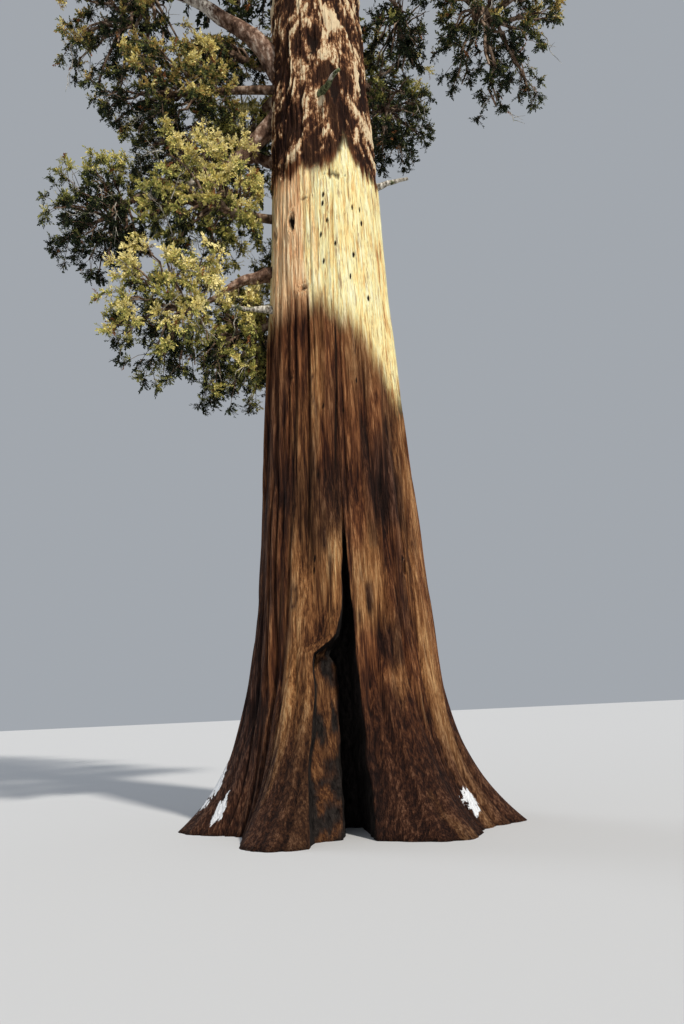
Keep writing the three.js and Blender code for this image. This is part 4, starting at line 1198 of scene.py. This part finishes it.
def bark_material():
    s = Shader("bark", 0.92)
    strand = s.grain(20, 15, 4, 0.41, 0.59)
    fibre = s.grain(42, 22, 3, 0.42, 0.58)
    hair = s.grain(95, 26, 2, 0.42, 0.58)
    patch = s.grain(1.4, 3.5, 4, 0.36, 0.64)
    speck = s.grain(26, 2, 3, 0.38, 0.62, 0.7)
    crumbs = s.grain(7, 3.5, 5, 0.36, 0.64, 0.7)
    level = s.blend(("furrow", 0.32), (strand, 0.28), (fibre, 0.2), (hair, 0.06), (patch, 0.14))
    # Paler tan in the patches, partly painted sunlight, and darker where painted shade falls
    colour = s.mix("pale", s.ramp(level, RED), s.ramp(level, TAN))
    colour = s.mix("dusky", colour, s.ramp(level, PAINTED_SHADE_BROWN))
    cracks = s.math("MULTIPLY", s.grain(30, 18, 3, 0.57, 0.62), 0.62)
    # The golden band, partly painted sunlight, pinker at its left
    band = s.mix("blush", s.ramp(level, SUNLIT_GOLD), s.ramp(level, SUNLIT_PINK))
    colour = s.mix("golden", colour, s.mix(cracks, band, CRACK_BROWN))
    # Shaggy bark, its plates partly painted sun flecks and shadow
    flake = s.blend(("flake", 0.68), (speck, 0.18), (strand, 0.14))
    colour = s.mix(s.math("MULTIPLY", "shag", 0.85), colour, s.ramp(flake, SHAGGY_SUN_AND_SHADE))
    # Knots' dark cores, partly painted shade, and painted shade in the holes and the crack
    colour = s.mix(s.stretch("dark", 0.2, 0.55), colour, KNOT_AND_SHADE_DARK)
    colour = s.mix("char", colour, s.ramp(s.streaks(18, 2.5, 5), SOOT))
    snow = s.stretch(s.blend(("snow", 0.75), (crumbs, 0.45), (strand, 0.12)), 0.62, 0.66)
    s.bump(s.blend((strand, 0.5), (fibre, 0.35), (hair, 0.15)), 0.9, 0.035)
    return s.finish(s.mix(snow, colour, SNOW_WHITE))


def bough_material():
    """Grey-brown bark, bleached in patches further out from the trunk."""
    s = Shader("bough_bark", 0.9)
    strand = s.grain(12, 1.6, 5, 0.36, 0.64)
    patch = s.grain(2.4, 1.4, 3, 0.36, 0.64)
    colour = s.ramp(s.blend((strand, 0.6), (patch, 0.4)), GREY_BROWN)
    far = s.node("VectorMath", {0: s.place((1, 1, 0))}, operation="LENGTH").outputs["Value"]
    weather = s.blend((s.stretch(far, 1.5, 2.3), 0.6), (patch, 0.35), (strand, 0.2))
    s.bump(strand, 0.7, 0.02)
    return s.finish(s.mix(s.stretch(weather, 0.6, 0.74), colour, s.ramp(strand, BLEACHED)))


def dead_material(name, greenness):
    s = Shader(name, 0.85)
    grain = s.grain(24, 1.8, 5, 0.34, 0.66)
    spots = s.stretch(s.streaks(5, 1, 4), 0.52 - 0.2 * greenness, 0.62 - 0.2 * greenness)
    s.bump(grain, 0.8, 0.012)
    return s.finish(s.mix(spots, s.ramp(grain, DEAD), s.ramp(grain, LICHEN)))


def twig_material():
    s = Shader("twig_bark", 0.9)
    return s.finish(s.ramp(s.grain(8, 1.5, 4, 0.36, 0.64), TWIG_BROWN))


def plain_material(name, roughness, colour):
    s = Shader(name, roughness)
    s.main.inputs["Base Color"].default_value = (*colour, 1)
    return s.material


# The colours of the sprays, from the deepest green to the palest gold, and the two browns
SPRAY_COLOURS = {
    "deep_green": (0.01, 0.016, 0.009), "green": (0.036, 0.048, 0.019), "olive": (0.16, 0.165, 0.048),
    "yellow_green": (0.43, 0.42, 0.125), "gold": (0.68, 0.575, 0.19), "pale_gold": (0.88, 0.78, 0.37),
    "rust": (0.25, 0.1, 0.036), "bronze": (0.4, 0.265, 0.085),
}

# Pieces

BARK = bark_material()
BOUGH_BARK = bough_material()
DEAD_WOOD = dead_material("dead_wood", 0.0)
LICHEN_WOOD = dead_material("lichen_wood", 1.0)
TWIG_BARK = twig_material()
SPRAYS = [plain_material("spray_" + name, 0.75, colour) for name, colour in SPRAY_COLOURS.items()]

trunk_piece(BARK)

boughs = Heap()
for i, limb in enumerate(limbs):
    bark_limb(limb, BOUGH.seed * i, BOUGH.sides, BOUGH.rings, boughs)
bough_piece = boughs.piece("boughs", [BOUGH_BARK], shade_smooth=True)
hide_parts(*["bough_" + limb.name for limb in limbs])

stubs = Heap()
for i, row in enumerate(STUBS):
    bark_limb(named(STUB_KEYS, row), STUB.seed + i, STUB.sides, STUB.rings, stubs)
    if row[0] == "front_dead_stub":
        stubs.kinds[-2:] = [kinds + 1 for kinds in stubs.kinds[-2:]]
stub_piece = stubs.piece("dead_stubs", [DEAD_WOOD, LICHEN_WOOD], shade_smooth=True)
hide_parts(*[row[0] for row in STUBS])

MOST_TRIANGLES = 190_000
groups = []
bare = Heap()
for mass in masses:
    sprays, twigs = Heap(), Heap()
    grow(mass, twigs, sprays)
    if mass.fine:
        bare_twigs(mass, bare)
    if not groups or groups[-1].sprays.triangles + sprays.triangles > MOST_TRIANGLES:
        groups.append(Values(names=[], sprays=Heap(), twigs=Heap()))
    groups[-1].names.append("foliage_" + mass.name)
    groups[-1].sprays.join(sprays)
    groups[-1].twigs.join(twigs)

for number, group in enumerate(groups, 1):
    piece = group.sprays.piece(f"sprays_{number}", SPRAYS)
    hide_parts(*group.names)
    piece = group.twigs.piece(f"twigs_{number}", [TWIG_BARK], shade_smooth=True)
bare.piece("bare_twigs", [DEAD_WOOD], shade_smooth=True)


# Stage, light and camera

FLOOR = Values(half=1000.0, colour=(0.58, 0.59, 0.61))
SKY = Values(colour=(0.86, 0.92, 1.0), strength=0.42)
CAMERA = Values(place=(0.056, -12.48, 1.58), pitch=14.5, roll=2.65, focal=781.0, clip_end=3000)
IMAGE_LONG_SIDE = 1024
SENSOR = 36.0


def placed(name, data):
    made = bpy.data.objects.new(name, data)
    bpy.context.scene.collection.objects.link(made)
    return made


floor_mesh = bpy.data.meshes.new("floor")
corners = [(x * FLOOR.half, y * FLOOR.half, 0) for x, y in ((-1, -1), (1, -1), (1, 1), (-1, 1))]
floor_mesh.from_pydata(corners, [], [(0, 1, 2, 3)])
floor_mesh.materials.append(plain_material("floor", 0.9, FLOOR.colour))
placed("floor", floor_mesh)

world = bpy.data.worlds.new("studio")
bpy.context.scene.world = world
world.use_nodes = True
sky = world.node_tree.nodes["Background"]
sky.inputs["Color"].default_value = (*SKY.colour, 1)
sky.inputs["Strength"].default_value = SKY.strength


def lamp(name, energy, colour, towards, angle):
    """A distant lamp. towards points from the tree to it, and angle is how wide it looks from there."""
    light = bpy.data.lights.new(name, "SUN")
    light.energy, light.color, light.angle = energy, colour, math.radians(angle)
    placed(name, light).rotation_euler = Vector(towards).to_track_quat("Z", "Y").to_euler()


lamp("key", 3.6, (1.0, 0.94, 0.84), (0.6, -0.9, 0.85), 4)
lamp("rim", 0.6, (0.9, 0.95, 1.0), (-0.7, 0.6, 0.5), 25)

pitch, roll = math.radians(CAMERA.pitch), math.radians(CAMERA.roll)
forward = np.array([0, math.cos(pitch), math.sin(pitch)])
level = np.array([1.0, 0, 0])
upright = np.array([0, -math.sin(pitch), math.cos(pitch)])
camera_up = math.cos(roll) * upright + math.sin(roll) * level
camera_right = math.cos(roll) * level - math.sin(roll) * upright
camera_data = bpy.data.cameras.new("camera")
camera_data.sensor_width = SENSOR
camera_data.lens = SENSOR * CAMERA.focal / IMAGE_LONG_SIDE
camera_data.clip_end = CAMERA.clip_end
camera = placed("camera", camera_data)
turned = Matrix([[float(r), float(u), float(-f)] for r, u, f in zip(camera_right, camera_up, forward)])
camera.matrix_world = Matrix.Translation(CAMERA.place) @ turned.to_4x4()
bpy.context.scene.camera = camera
bpy.context.scene.view_settings.view_transform = "Standard"
